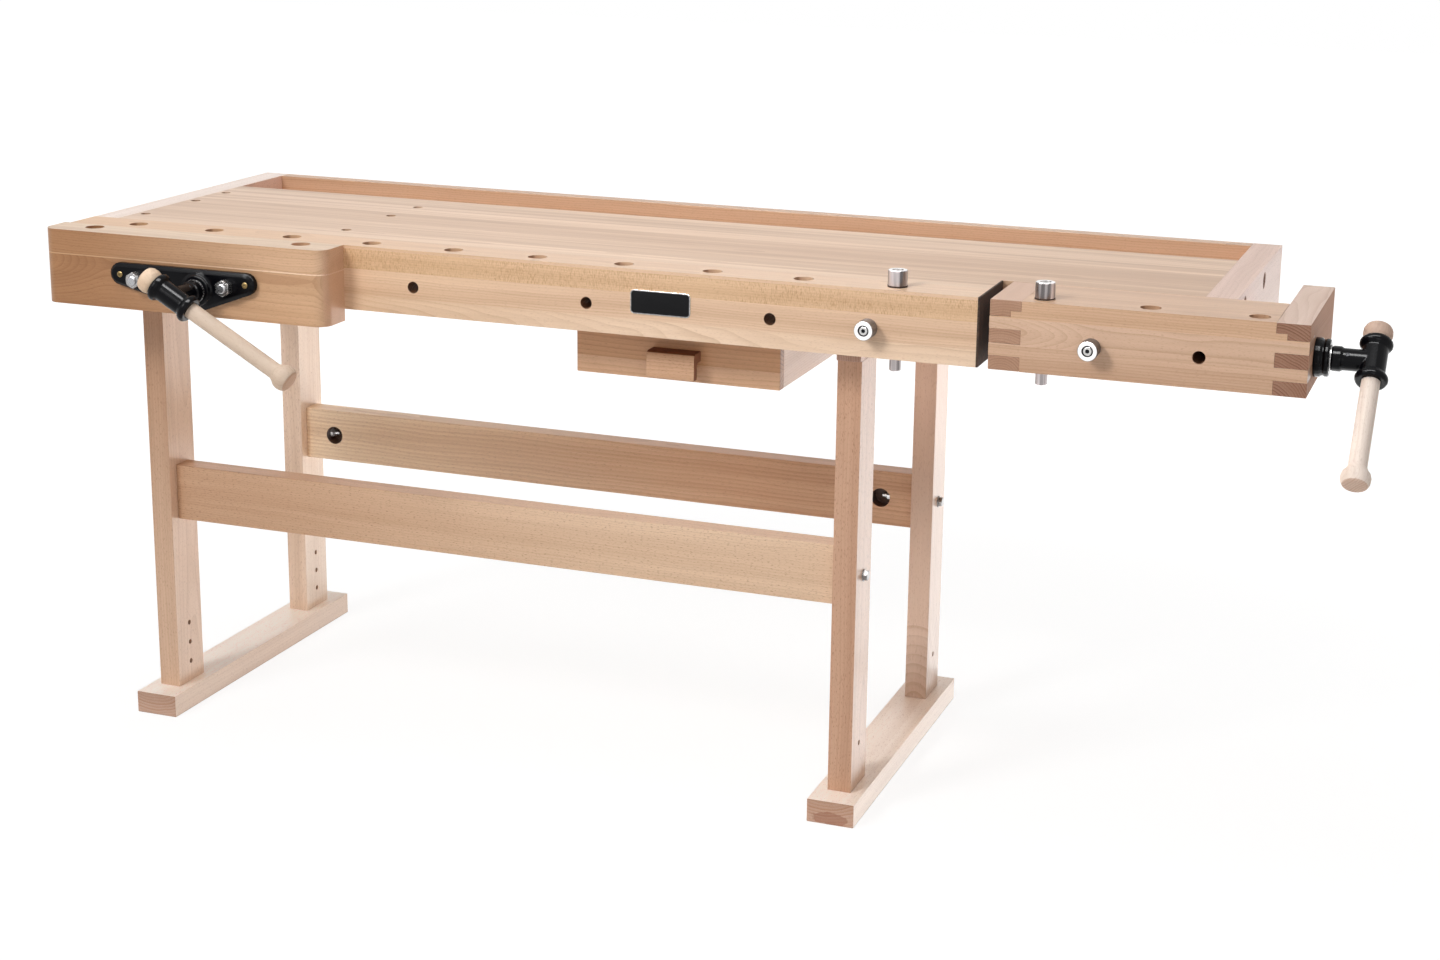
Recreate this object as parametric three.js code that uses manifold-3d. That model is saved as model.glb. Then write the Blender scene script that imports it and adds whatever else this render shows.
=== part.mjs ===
// Joiner's workbench of beech with a front vise, a tail vise, a tool tray, a drawer and four bench dogs.
// Millimetres, +Z up. X runs along the bench from its left end, Y from the apron's front face to the back.

import * as THREE from 'three';
import { ConvexGeometry } from 'three/addons/geometries/ConvexGeometry.js';
import { mergeVertices } from 'three/addons/utils/BufferGeometryUtils.js';
import Module from 'manifold-3d';

const wasm = await Module();
wasm.setup();

// Driving dimensions of the top
const TOP = 900;
const LENGTH = 1960;
const DEPTH = 640;
const SLAB_THICKNESS = 45;
const APRON_THICKNESS = 70;
const APRON_HEIGHT = 107;
const CAP_WIDTH = 48;
const RAIL_THICKNESS = 28;
const TRAY_WIDTH = 145;
const TRAY_FLOOR = 12;
const TONGUE = 12;
const TONGUE_INSET = 20;
const TONGUE_SHOULDER = 15;
const GROOVE = 6;
const CAP_BOLT = 14;
const CAP_BOLT_DEPTH = 16;
const CAP_BOLT_DROP = 23;
const CAP_BOLTS = [220, 432];
const PEG_ROWS = [128, 286, 387];
const FIT = 0.3;

// Driving dimensions of the dog holes and dogs
const DOG_PITCH = 150;
const DOG_FIRST = 115;
const DOG_END_MARGIN = 30;
const DOG_INSET = 33;
const DOG_BORE = 9.5;
const DOG_HEAD_BORE = 15.75;
const DOG_HEAD_DEPTH = 26.5;
const DOG_HEAD = 15;
const DOG_HEAD_HEIGHT = 26;
const DOG_SHANK = 9;
const FRONT_HOLE_SETBACKS = [942, 635, 327, 169];
const FRONT_HOLE_DROP = 61;

// Driving dimensions of the base
const FRAME_INSETS = [97.5, 584];
const FOOT_FRONT = 39.5;
const FOOT_OVERHANG = 24.5;
const FOOT_WIDTH = 80;
const FOOT_HEIGHT = 40;
const LEG_WIDTH = 40;
const LEG_DEPTH = 79;
const LEG_INSET = 46.5;
const BEARER_HEIGHT = 90;
const BEARER_OVERHANG = 7;
const STRETCHER_BOTTOM = 354;
const STRETCHER_HEIGHT = 100;
const STRETCHER_THICKNESS = 40;
const STRETCHER_HOLE = 17;
const STRETCHER_HOLE_INSET = 62;
const SHELF_HOLE = 4.5;
const SHELF_HOLE_HEIGHTS = [77, 114, 151];
const TENON_WIDTH = 14;
const TENON_DEPTH = 28;
const TENON_LENGTH = 55;
const STUB_HALF_WIDTH = 9;
const STUB_HALF_HEIGHT = 32;

// Driving dimensions of the front vise
const JAW_END = 530;
const JAW_OVERHANG = 11;
const JAW_THICKNESS = 65;
const JAW_HEIGHT = 127;
const JAW_CORNER = 23;
const JAW_PEG_INSETS = [65, 66];
const JAW_PEG_SETBACK = 22;
const PEG_BORE = 9;
const PLATE_DEPTH = 14;
const PLATE_DRAFT = 6;
const LOBE = 19;
const LOBE_OUT = [35, 33];
const LOBE_RISE = 6;
const BELLY = 36;
const BELLY_SHIFT = 7;
const BELLY_DROP = 2;
const BOSS_DEPTH = 22;
const BOSS = 30;
const ROD_SPREAD = 172;
const ROD_OFFSET = 31;
const ROD_RISE = 9;
const ROD_BACK = 330;
const ROD = 10;
const ROD_END = 8;
const FRONT_SCREW_X = 299;
const FRONT_SCREW_DROP = 80;
const FRONT_SCREW_SETBACK = 8;
const FRONT_HANDLE_DIP = 29.6;
const TIE_BAR = 14;
const TIE_BAR_MARGIN = 20;
const NUT_PLATE = 10;
const NUT_PLATE_MARGIN = 24;
const NUT_BOSS = 21;
const NUT_BOSS_DEPTH = 48;
const ROD_BOSS = 17;
const ROD_BOSS_DEPTH = 42;

// Driving dimensions of the tail vise
const NOTCH_DEPTH = 143.5;
const TAIL_MOUTH = 358;
const LINING = 3;
const TAIL_GAP = 16;
const TAIL_LENGTH = 466;
const TAIL_PROUD = 2.5;
const TAIL_BOARD = 56.5;
const TAIL_END = 48;
const TAIL_END_BACK = 299.5;
const TAIL_DOG_PITCH = 157.5;
const TAIL_DOG_FIRST = 75;
const TAIL_CAP = 30;
const TAIL_SCREW_Y = 76;
const TAIL_SCREW_DROP = 62;
const TAIL_HANDLE_LEAN = 48;
const FINGER = 22;
const FINGER_GAP = 19;
const FINGER_STEP = 9;
const FINGER_STEP_LENGTH = 32;
const TAIL_NUT_HALF = 24;
const TAIL_NUT_GAP = 5;
const TAIL_SCREW_SETBACK = 34;
const RUNNER_FRONT = 210;
const RUNNER_SIZE = 40;
const RUNNER_DROP = 11;
const RUNNER_LENGTH = 516;
const RUNNER_TENON = 8;
const RUNNER_TENON_LENGTH = 30;
const GUIDE_SETBACK = 270;
const GUIDE_WIDTH = 50;
const GUIDE_WALL = 22;
const KEY_FRONT = 119;
const KEY_MARGIN = 7;
const KEY_PLAY = 0.5;

// Driving dimensions of the vise screws and handles
const SCREW = 12;
const SCREW_SHOULDER = 16;
const SHOULDER_DEPTH = 10;
const SPIGOT = 10;
const SPIGOT_LENGTH = 23;
const WASHER = 2;
const HUB_REACH = 59;
const HUB_STEM = 16.5;
const HUB_TUBE = 18.5;
const HUB_HALF = 37;
const HUB_COLLAR = 24;
const HUB_BORE = 14;
const HANDLE = 13.5;
const FRONT_HANDLE_SPAN = 256;
const TAIL_HANDLE_SPAN = 227;
const KNOB = 21.5;
const KNOB_LENGTH = 26;

// Driving dimensions of the drawer
const DRAWER_SETBACK = 120;
const DRAWER_WIDTH = 353;
const DRAWER_FRONT = 101;
const DRAWER_LENGTH = 372;
const DRAWER_DROP = 5;
const DRAWER_HEIGHT = 87;
const DRAWER_FRONT_THICKNESS = 18.5;
const DRAWER_SIDE = 15;
const DRAWER_PANEL = 6;
const RUNNER_THICKNESS = 20;
const PULL_WIDTH = 83;

// Heights and places that follow from them
const SLAB_BOTTOM = TOP - SLAB_THICKNESS;
const APRON_BOTTOM = TOP - APRON_HEIGHT;
const APRON_END = LENGTH - TAIL_MOUTH - LINING;
const DOG_COUNT = Math.floor((APRON_END - DOG_FIRST - DOG_END_MARGIN) / DOG_PITCH) + 1;
const FRONT_HOLES = FRONT_HOLE_SETBACKS.map((setback) => APRON_END - setback);
const FRAME_CENTRES = [FRAME_INSETS[0], LENGTH - FRAME_INSETS[1]];
const RAIL_FRONT = DEPTH - RAIL_THICKNESS;
const TRAY_FRONT = RAIL_FRONT - TRAY_WIDTH;
const FLOOR_BOTTOM = SLAB_BOTTOM - TRAY_FLOOR;
const FLOOR_FRONT = TRAY_FRONT - TONGUE_INSET;
const BEARER_BOTTOM = SLAB_BOTTOM - BEARER_HEIGHT;
const FOOT_BACK = DEPTH + FOOT_OVERHANG;
const LEG_FRONTS = [FOOT_FRONT + LEG_INSET, FOOT_BACK - LEG_INSET - LEG_DEPTH];
const STRETCHER_MIDDLE = STRETCHER_BOTTOM + STRETCHER_HEIGHT / 2;
const FRONT_HOLE_Z = TOP - FRONT_HOLE_DROP;
const JAW_BOTTOM = TOP - JAW_HEIGHT;
const JAW_PEGS = [JAW_PEG_INSETS[0], JAW_END - JAW_PEG_INSETS[1]];
const FRONT_SCREW_Z = TOP - FRONT_SCREW_DROP;
const ROD_Z = FRONT_SCREW_Z + ROD_RISE;
const ROD_MIDDLE = FRONT_SCREW_X - ROD_OFFSET;
const ROD_XS = [ROD_MIDDLE - ROD_SPREAD / 2, ROD_MIDDLE + ROD_SPREAD / 2];
const PLATE_FACE = -JAW_THICKNESS - PLATE_DEPTH;
const BOSS_FACE = -JAW_THICKNESS - BOSS_DEPTH;
const FRONT_TEE_Y = BOSS_FACE - WASHER - HUB_REACH;
const TAIL_LEFT = APRON_END + LINING + TAIL_GAP;
const TAIL_RIGHT = TAIL_LEFT + TAIL_LENGTH;
const TAIL_FRONT = -TAIL_PROUD;
const TAIL_BACK = TAIL_FRONT + TAIL_BOARD;
const TAIL_INNER_LEFT = TAIL_LEFT + TAIL_END;
const TAIL_INNER_RIGHT = TAIL_RIGHT - TAIL_END;
const TAIL_TEE_X = TAIL_RIGHT + BOSS_DEPTH + WASHER + HUB_REACH;
const TAIL_SCREW_Z = TOP - TAIL_SCREW_DROP;
const DRAWER_RIGHT = FRAME_CENTRES[1] - DRAWER_SETBACK;
const DRAWER_LEFT = DRAWER_RIGHT - DRAWER_WIDTH;
const DRAWER_TOP = APRON_BOTTOM - DRAWER_DROP;
const DRAWER_BOTTOM = DRAWER_TOP - DRAWER_HEIGHT;
const DRAWER_BACK = DRAWER_FRONT + DRAWER_LENGTH;

// Materials
function finish(colour, roughness, metalness) {
  return new THREE.MeshStandardMaterial({ color: colour, roughness, metalness });
}
const BEECH = finish('#d3ab82', 0.5, 0);
const PALE_BEECH = finish('#ead3b8', 0.55, 0);
const PLYWOOD = finish('#c99f72', 0.6, 0);
const IRON = finish('#1b1b1e', 0.42, 0.35);
const STEEL = finish('#a9a9aa', 0.32, 1);
const ALUMINIUM = finish('#d6d4d4', 0.28, 1);
const RUBBER = finish('#2e2a29', 0.9, 0);

// Solids
const ROUND = 24;
const HOLE_ROUND = 20;
const PLAIN_ROUND = 16;
const AXIS_TURNS = {
  x: (geometry) => geometry.rotateZ(-Math.PI / 2),
  y: (geometry) => geometry,
  z: (geometry) => geometry.rotateX(Math.PI / 2),
};
const AXIS_PLACES = {
  x: ([y, z]) => [0, y, z],
  y: ([x, z]) => [x, 0, z],
  z: ([x, y]) => [x, y, 0],
};

function solid(geometry) {
  const bare = geometry.clone();
  bare.deleteAttribute('normal');
  bare.deleteAttribute('uv');
  const joined = mergeVertices(bare, 1e-3);
  const corners = joined.index.array;
  const triangles = [];
  for (let i = 0; i < corners.length; i += 3) {
    const [a, b, c] = [corners[i], corners[i + 1], corners[i + 2]];
    if (a !== b && b !== c && c !== a) {
      triangles.push(a, b, c);
    }
  }
  const mesh = new wasm.Mesh({
    numProp: 3,
    vertProperties: new Float32Array(joined.attributes.position.array),
    triVerts: new Uint32Array(triangles),
  });
  return new wasm.Manifold(mesh);
}

function place(geometry, axis, centre) {
  AXIS_TURNS[axis](geometry);
  geometry.translate(...AXIS_PLACES[axis](centre));
  return solid(geometry);
}

function box([x0, x1], [y0, y1], [z0, z1]) {
  const geometry = new THREE.BoxGeometry(x1 - x0, y1 - y0, z1 - z0);
  geometry.translate((x0 + x1) / 2, (y0 + y1) / 2, (z0 + z1) / 2);
  return solid(geometry);
}

function cylinder(axis, radius, from, to, centre, segments = ROUND) {
  const geometry = new THREE.CylinderGeometry(radius, radius, to - from, segments);
  geometry.translate(0, (from + to) / 2, 0);
  return place(geometry, axis, centre);
}

function lathe(axis, profile, centre, segments = ROUND) {
  const points = profile.map(([radius, along]) => new THREE.Vector2(radius, along));
  return place(new THREE.LatheGeometry(points, segments), axis, centre);
}

function extrude(points, depth) {
  const shape = new THREE.Shape(points.map(([a, b]) => new THREE.Vector2(a, b)));
  return new THREE.ExtrudeGeometry(shape, { depth, bevelEnabled: false, curveSegments: 8 });
}

function joinAll(pieces) {
  return pieces.reduce((whole, piece) => whole.add(piece));
}

function cutAll(whole, cutters) {
  return whole.subtract(joinAll(cutters));
}

const bench = new THREE.Group();
bench.name = 'workbench';

function add(name, body, material) {
  const mesh = body.getMesh();
  const geometry = new THREE.BufferGeometry();
  geometry.setAttribute('position', new THREE.BufferAttribute(mesh.vertProperties, 3));
  geometry.setIndex(new THREE.BufferAttribute(mesh.triVerts, 1));
  geometry.computeVertexNormals();
  const piece = new THREE.Mesh(geometry, material);
  piece.name = name;
  bench.add(piece);
}

// Feet, legs and bearers of the two end frames
function tenon(frameX, legFront, zLow, zHigh, slack) {
  const middle = legFront + LEG_DEPTH / 2;
  return box(
    [frameX - TENON_WIDTH / 2 - slack, frameX + TENON_WIDTH / 2 + slack],
    [middle - TENON_LENGTH / 2 - slack, middle + TENON_LENGTH / 2 + slack],
    [zLow, zHigh],
  );
}

function stretcherTenon(frameX, inward, y, slack) {
  const face = frameX + inward * LEG_WIDTH / 2;
  const ends = [face + inward, face - inward * (TONGUE + slack)].sort((a, b) => a - b);
  return box(
    ends,
    [y - STUB_HALF_WIDTH - slack, y + STUB_HALF_WIDTH + slack],
    [STRETCHER_MIDDLE - STUB_HALF_HEIGHT - slack, STRETCHER_MIDDLE + STUB_HALF_HEIGHT + slack],
  );
}

function foot(frameX) {
  const block = box(
    [frameX - FOOT_WIDTH / 2, frameX + FOOT_WIDTH / 2],
    [FOOT_FRONT, FOOT_BACK],
    [0, FOOT_HEIGHT],
  );
  const top = FOOT_HEIGHT;
  return cutAll(block, LEG_FRONTS.map((y) => tenon(frameX, y, top - TENON_DEPTH - FIT, top + 1, FIT)));
}

function leg(frameX, inward, legFront) {
  const middle = legFront + LEG_DEPTH / 2;
  const width = [frameX - LEG_WIDTH / 2, frameX + LEG_WIDTH / 2];
  const post = joinAll([
    box(width, [legFront, legFront + LEG_DEPTH], [FOOT_HEIGHT, BEARER_BOTTOM]),
    tenon(frameX, legFront, FOOT_HEIGHT - TENON_DEPTH, FOOT_HEIGHT + 1, 0),
    tenon(frameX, legFront, BEARER_BOTTOM - 1, BEARER_BOTTOM + TENON_DEPTH, 0),
  ]);
  const inner = frameX + inward * (LEG_WIDTH / 2 + 1);
  const blind = frameX - inward * 4;
  const ends = [inner, blind].sort((a, b) => a - b);
  const holes = SHELF_HOLE_HEIGHTS.map((z, row) => {
    const [from, to] = row === 1 ? [width[0] - 1, width[1] + 1] : ends;
    return cylinder('x', SHELF_HOLE, from, to, [middle, z], 12);
  });
  return cutAll(post, [...holes, stretcherTenon(frameX, inward, middle, FIT)]);
}

function bearer(frameX) {
  const width = [frameX - LEG_WIDTH / 2, frameX + LEG_WIDTH / 2];
  const front = LEG_FRONTS[0] - BEARER_OVERHANG;
  const beam = joinAll([
    box(width, [front, FLOOR_FRONT], [BEARER_BOTTOM, SLAB_BOTTOM]),
    box(width, [FLOOR_FRONT - 1, RAIL_FRONT - 4], [BEARER_BOTTOM, FLOOR_BOTTOM]),
  ]);
  const low = BEARER_BOTTOM - 1;
  const high = BEARER_BOTTOM + TENON_DEPTH + FIT;
  return cutAll(beam, LEG_FRONTS.map((y) => tenon(frameX, y, low, high, FIT)));
}

const SIDES = ['left', 'right'];
const ENDS = ['front', 'rear'];
FRAME_CENTRES.forEach((frameX, side) => {
  const inward = side === 0 ? 1 : -1;
  add(`foot_${SIDES[side]}`, foot(frameX), BEECH);
  LEG_FRONTS.forEach((legFront, end) => {
    add(`leg_${ENDS[end]}_${SIDES[side]}`, leg(frameX, inward, legFront), BEECH);
  });
  add(`bearer_${SIDES[side]}`, bearer(frameX), BEECH);
});

// Stretchers with stub tenons and round access holes for the draw bolts
LEG_FRONTS.forEach((legFront, end) => {
  const middle = legFront + LEG_DEPTH / 2;
  const inner = [FRAME_CENTRES[0] + LEG_WIDTH / 2, FRAME_CENTRES[1] - LEG_WIDTH / 2];
  const half = STRETCHER_THICKNESS / 2;
  const beam = joinAll([
    box(inner, [middle - half, middle + half], [STRETCHER_BOTTOM, STRETCHER_BOTTOM + STRETCHER_HEIGHT]),
    stretcherTenon(FRAME_CENTRES[0], 1, middle, 0),
    stretcherTenon(FRAME_CENTRES[1], -1, middle, 0),
  ]);
  const open = end === 0 ? [middle - 5, middle + half + 1] : [middle - half - 1, middle + 5];
  const holes = [inner[0] + STRETCHER_HOLE_INSET, inner[1] - STRETCHER_HOLE_INSET];
  const cuts = holes.map((x) => cylinder('y', STRETCHER_HOLE, ...open, [x, STRETCHER_MIDDLE], HOLE_ROUND));
  add(`stretcher_${ENDS[end]}`, cutAll(beam, cuts), BEECH);
});

// Counterbored holes for the dogs and plain holes for the pegs
function dogHole(x, y, bottom) {
  return joinAll([
    cylinder('z', DOG_HEAD_BORE, TOP - DOG_HEAD_DEPTH, TOP + 1, [x, y], HOLE_ROUND),
    cylinder('z', DOG_BORE, bottom - 1, TOP, [x, y], PLAIN_ROUND),
  ]);
}

function sideHole(x, front, back) {
  return cylinder('y', DOG_BORE, front - 1, back + 1, [x, FRONT_HOLE_Z], HOLE_ROUND);
}

// Top slab, tongued into both end caps and notched for the tail vise
const TONGUE_HEIGHTS = [SLAB_BOTTOM + TONGUE_SHOULDER, TOP - TONGUE_SHOULDER];
const slabBlank = joinAll([
  box([CAP_WIDTH, LENGTH - CAP_WIDTH], [APRON_THICKNESS, TRAY_FRONT], [SLAB_BOTTOM, TOP]),
  box(
    [CAP_WIDTH - TONGUE, LENGTH - CAP_WIDTH + TONGUE],
    [APRON_THICKNESS + TONGUE_INSET, TRAY_FRONT - TONGUE_INSET],
    TONGUE_HEIGHTS,
  ),
]);
const notch = box([APRON_END, LENGTH], [APRON_THICKNESS - 1, NOTCH_DEPTH], [SLAB_BOTTOM - 1, TOP + 1]);
const slabPegs = JAW_PEGS.flatMap((x) =>
  PEG_ROWS.map((y) => cylinder('z', PEG_BORE, SLAB_BOTTOM - 1, TOP + 1, [x, y], HOLE_ROUND)),
);
add('slab', cutAll(slabBlank, [notch, ...slabPegs]), BEECH);

// Front apron with the row of dog holes
const apronDogs = Array.from({ length: DOG_COUNT }, (_, i) => DOG_FIRST + i * DOG_PITCH);
const apronBlank = box([0, APRON_END], [0, APRON_THICKNESS], [APRON_BOTTOM, TOP]);
add('apron', cutAll(apronBlank, [
  ...apronDogs.map((x) => dogHole(x, DOG_INSET, APRON_BOTTOM)),
  ...FRONT_HOLES.map((x) => sideHole(x, 0, APRON_THICKNESS)),
  ...ROD_XS.map((x) => cylinder('y', ROD + 1, -1, APRON_THICKNESS + 1, [x, ROD_Z], PLAIN_ROUND)),
  cylinder('y', SCREW + 2, -1, APRON_THICKNESS + 1, [FRONT_SCREW_X, FRONT_SCREW_Z]),
]), BEECH);

// End caps, grooved for the slab and the tray floor
const RUNNER_Y = [RUNNER_FRONT, RUNNER_FRONT + RUNNER_SIZE];
const RUNNER_TOP = SLAB_BOTTOM - RUNNER_DROP;
const RUNNER_Z = [RUNNER_TOP - RUNNER_SIZE, RUNNER_TOP];
const CAP_BOLT_Z = TOP - CAP_BOLT_DROP;
const FLOOR_BACK = RAIL_FRONT + GROOVE;

function endCap(xLow, outward, front) {
  const x = [xLow, xLow + CAP_WIDTH];
  const mouth = outward > 0 ? xLow : xLow + CAP_WIDTH;
  const tongue = [mouth - TONGUE - FIT, mouth + TONGUE + FIT];
  const floor = [mouth - GROOVE - FIT, mouth + GROOVE + FIT];
  const outer = outward > 0 ? xLow + CAP_WIDTH : xLow;
  const face = [outer - outward * CAP_BOLT_DEPTH, outer + outward].sort((a, b) => a - b);
  return cutAll(box(x, [front, DEPTH], [APRON_BOTTOM, TOP]), [
    box(
      tongue,
      [front - 1, TRAY_FRONT - TONGUE_INSET + FIT],
      [TONGUE_HEIGHTS[0] - FIT, TONGUE_HEIGHTS[1] + FIT],
    ),
    box(floor, [FLOOR_FRONT - FIT, FLOOR_BACK + FIT], [FLOOR_BOTTOM - FIT, SLAB_BOTTOM + FIT]),
    ...CAP_BOLTS.map((y) => cylinder('x', CAP_BOLT, ...face, [y, CAP_BOLT_Z], HOLE_ROUND)),
  ]);
}
add('end_cap_left', endCap(0, -1, APRON_THICKNESS), BEECH);
const runnerWay = box(
  [LENGTH - CAP_WIDTH - 1, LENGTH + 1],
  [RUNNER_Y[0] - FIT, RUNNER_Y[1] + FIT],
  [RUNNER_Z[0] - FIT, RUNNER_Z[1] + FIT],
);
add('end_cap_right', endCap(LENGTH - CAP_WIDTH, 1, NOTCH_DEPTH).subtract(runnerWay), BEECH);

// Back rail and tray floor
const railBlank = box([CAP_WIDTH, LENGTH - CAP_WIDTH], [RAIL_FRONT, DEPTH], [APRON_BOTTOM, TOP]);
const railGroove = box(
  [CAP_WIDTH - 1, LENGTH - CAP_WIDTH + 1],
  [RAIL_FRONT - 1, FLOOR_BACK + FIT],
  [FLOOR_BOTTOM - FIT, SLAB_BOTTOM + FIT],
);
add('back_rail', railBlank.subtract(railGroove), BEECH);
add('tray_floor', box(
  [CAP_WIDTH - GROOVE, LENGTH - CAP_WIDTH + GROOVE],
  [FLOOR_FRONT, FLOOR_BACK],
  [FLOOR_BOTTOM, SLAB_BOTTOM],
), PLYWOOD);

// Fixed jaw of the tail vise: a block behind the apron's end, faced with a dark lining
add('tail_stop_block', box(
  [APRON_END - CAP_WIDTH, APRON_END],
  [APRON_THICKNESS, NOTCH_DEPTH],
  [APRON_BOTTOM, SLAB_BOTTOM],
), BEECH);
add('tail_lining', box([APRON_END, APRON_END + LINING], [0, NOTCH_DEPTH], [APRON_BOTTOM, TOP]), RUBBER);

// Front vise: chop with rounded corners, its iron plate, two guide rods with a tie bar, and the nut
function roundedChop() {
  const [left, right] = [-JAW_OVERHANG + JAW_CORNER, JAW_END - JAW_CORNER];
  const turn = -JAW_THICKNESS + JAW_CORNER;
  const shape = new THREE.Shape();
  shape.moveTo(-JAW_OVERHANG, 0);
  shape.lineTo(-JAW_OVERHANG, turn);
  shape.absarc(left, turn, JAW_CORNER, Math.PI, 1.5 * Math.PI, false);
  shape.lineTo(right, -JAW_THICKNESS);
  shape.absarc(right, turn, JAW_CORNER, 1.5 * Math.PI, 2 * Math.PI, false);
  shape.lineTo(JAW_END, 0);
  shape.closePath();
  const geometry = new THREE.ExtrudeGeometry(shape, {
    depth: JAW_HEIGHT,
    bevelEnabled: false,
    curveSegments: 10,
  });
  geometry.translate(0, 0, JAW_BOTTOM);
  return solid(geometry);
}
const jawThrough = [-JAW_THICKNESS - 1, 1];
add('front_jaw', cutAll(roundedChop(), [
  ...JAW_PEGS.map((x) => dogHole(x, -JAW_PEG_SETBACK, JAW_BOTTOM)),
  ...ROD_XS.map((x) => cylinder('y', ROD + FIT, ...jawThrough, [x, ROD_Z], PLAIN_ROUND)),
  cylinder('y', SCREW + FIT, ...jawThrough, [FRONT_SCREW_X, FRONT_SCREW_Z]),
  cylinder(
    'y', SCREW_SHOULDER + 1, -JAW_THICKNESS - 1, -JAW_THICKNESS + SHOULDER_DEPTH + FIT,
    [FRONT_SCREW_X, FRONT_SCREW_Z],
  ),
]), BEECH);

const PLATE_LOBES = [
  { x: ROD_XS[0] - LOBE_OUT[0], z: ROD_Z + LOBE_RISE, radius: LOBE },
  { x: FRONT_SCREW_X - BELLY_SHIFT, z: FRONT_SCREW_Z - BELLY_DROP, radius: BELLY },
  { x: ROD_XS[1] + LOBE_OUT[1], z: ROD_Z + LOBE_RISE, radius: LOBE },
];

function plateRing({ x, z, radius }, y) {
  return Array.from({ length: PLAIN_ROUND }, (_, i) => {
    const angle = (2 * Math.PI * i) / PLAIN_ROUND;
    return new THREE.Vector3(x + radius * Math.cos(angle), y, z + radius * Math.sin(angle));
  });
}

function drafted(lobe) {
  return { ...lobe, radius: lobe.radius - PLATE_DRAFT };
}
const plateCorners = PLATE_LOBES.flatMap((lobe) => [
  ...plateRing(lobe, -JAW_THICKNESS),
  ...plateRing(lobe, PLATE_FACE + 5),
  ...plateRing(drafted(lobe), PLATE_FACE),
]);
const frontBoss = lathe('y', [
  [0, BOSS_FACE],
  [BOSS - 6, BOSS_FACE],
  [BOSS - 4, BOSS_FACE + 2],
  [BOSS - 4, PLATE_FACE - 3],
  [BOSS, PLATE_FACE],
  [BOSS, -JAW_THICKNESS - 1],
  [0, -JAW_THICKNESS - 1],
], [FRONT_SCREW_X, FRONT_SCREW_Z]);
const plateThrough = [BOSS_FACE - 1, 1 - JAW_THICKNESS];
add('front_plate', cutAll(solid(new ConvexGeometry(plateCorners)).add(frontBoss), [
  ...ROD_XS.map((x) => cylinder('y', ROD_END + FIT, ...plateThrough, [x, ROD_Z], PLAIN_ROUND)),
  cylinder('y', SPIGOT + FIT, ...plateThrough, [FRONT_SCREW_X, FRONT_SCREW_Z]),
]), IRON);

const NUT_THICKNESS = 13;
const NUT_CORNER = 13.9;
ROD_XS.forEach((x, side) => {
  add(`front_rod_${SIDES[side]}`, lathe('y', [
    [0, PLATE_FACE - NUT_THICKNESS - 4],
    [ROD_END - 1.5, PLATE_FACE - NUT_THICKNESS - 4],
    [ROD_END, PLATE_FACE - NUT_THICKNESS - 2.5],
    [ROD_END, -JAW_THICKNESS],
    [ROD, -JAW_THICKNESS],
    [ROD, ROD_BACK],
    [0, ROD_BACK],
  ], [x, ROD_Z], PLAIN_ROUND), STEEL);
  const hexagon = cylinder('y', NUT_CORNER, PLATE_FACE - NUT_THICKNESS, PLATE_FACE, [x, ROD_Z], 6);
  const crown = lathe('y', [
    [0, PLATE_FACE - NUT_THICKNESS],
    [NUT_CORNER - 2, PLATE_FACE - NUT_THICKNESS],
    [NUT_CORNER + 1, PLATE_FACE - NUT_THICKNESS + 2],
    [NUT_CORNER + 1, PLATE_FACE],
    [0, PLATE_FACE],
  ], [x, ROD_Z]);
  const nutY = [PLATE_FACE - NUT_THICKNESS - 1, PLATE_FACE + 1];
  const bore = cylinder('y', ROD_END + FIT, ...nutY, [x, ROD_Z], PLAIN_ROUND);
  add(`front_rod_nut_${SIDES[side]}`, hexagon.intersect(crown).subtract(bore), STEEL);
});
add('front_tie_bar', box(
  [ROD_XS[0] - TIE_BAR_MARGIN, ROD_XS[1] + TIE_BAR_MARGIN],
  [ROD_BACK, ROD_BACK + TIE_BAR],
  [ROD_Z - TIE_BAR_MARGIN, ROD_Z + TIE_BAR_MARGIN],
), IRON);

const NUT_BACK = APRON_THICKNESS + NUT_BOSS_DEPTH;
const ROD_BOSS_BACK = APRON_THICKNESS + ROD_BOSS_DEPTH;
const nutBlank = joinAll([
  box(
    [ROD_XS[0] - NUT_PLATE_MARGIN, ROD_XS[1] + NUT_PLATE_MARGIN],
    [APRON_THICKNESS, APRON_THICKNESS + NUT_PLATE],
    [FRONT_SCREW_Z - NUT_BOSS, ROD_Z + TIE_BAR_MARGIN],
  ),
  cylinder('y', NUT_BOSS, APRON_THICKNESS, NUT_BACK, [FRONT_SCREW_X, FRONT_SCREW_Z], PLAIN_ROUND),
  ...ROD_XS.map((x) => cylinder('y', ROD_BOSS, APRON_THICKNESS, ROD_BOSS_BACK, [x, ROD_Z], PLAIN_ROUND)),
]);
const nutThrough = [APRON_THICKNESS - 1, NUT_BACK + 12];
add('front_nut', cutAll(nutBlank, [
  cylinder('y', SCREW + FIT, ...nutThrough, [FRONT_SCREW_X, FRONT_SCREW_Z]),
  ...ROD_XS.map((x) => cylinder('y', ROD + FIT, ...nutThrough, [x, ROD_Z], PLAIN_ROUND)),
]), IRON);

// Tail vise carriage: dog board finger-jointed to cheek and end board, with a stepped top finger
const CARRIAGE_Z = [APRON_BOTTOM, TOP];
const RAIL_KEY_Y = [KEY_FRONT, NOTCH_DEPTH];
const RAIL_KEY_Z = [SLAB_BOTTOM + 2 * KEY_PLAY, TOP - TAIL_CAP - KEY_PLAY];

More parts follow.
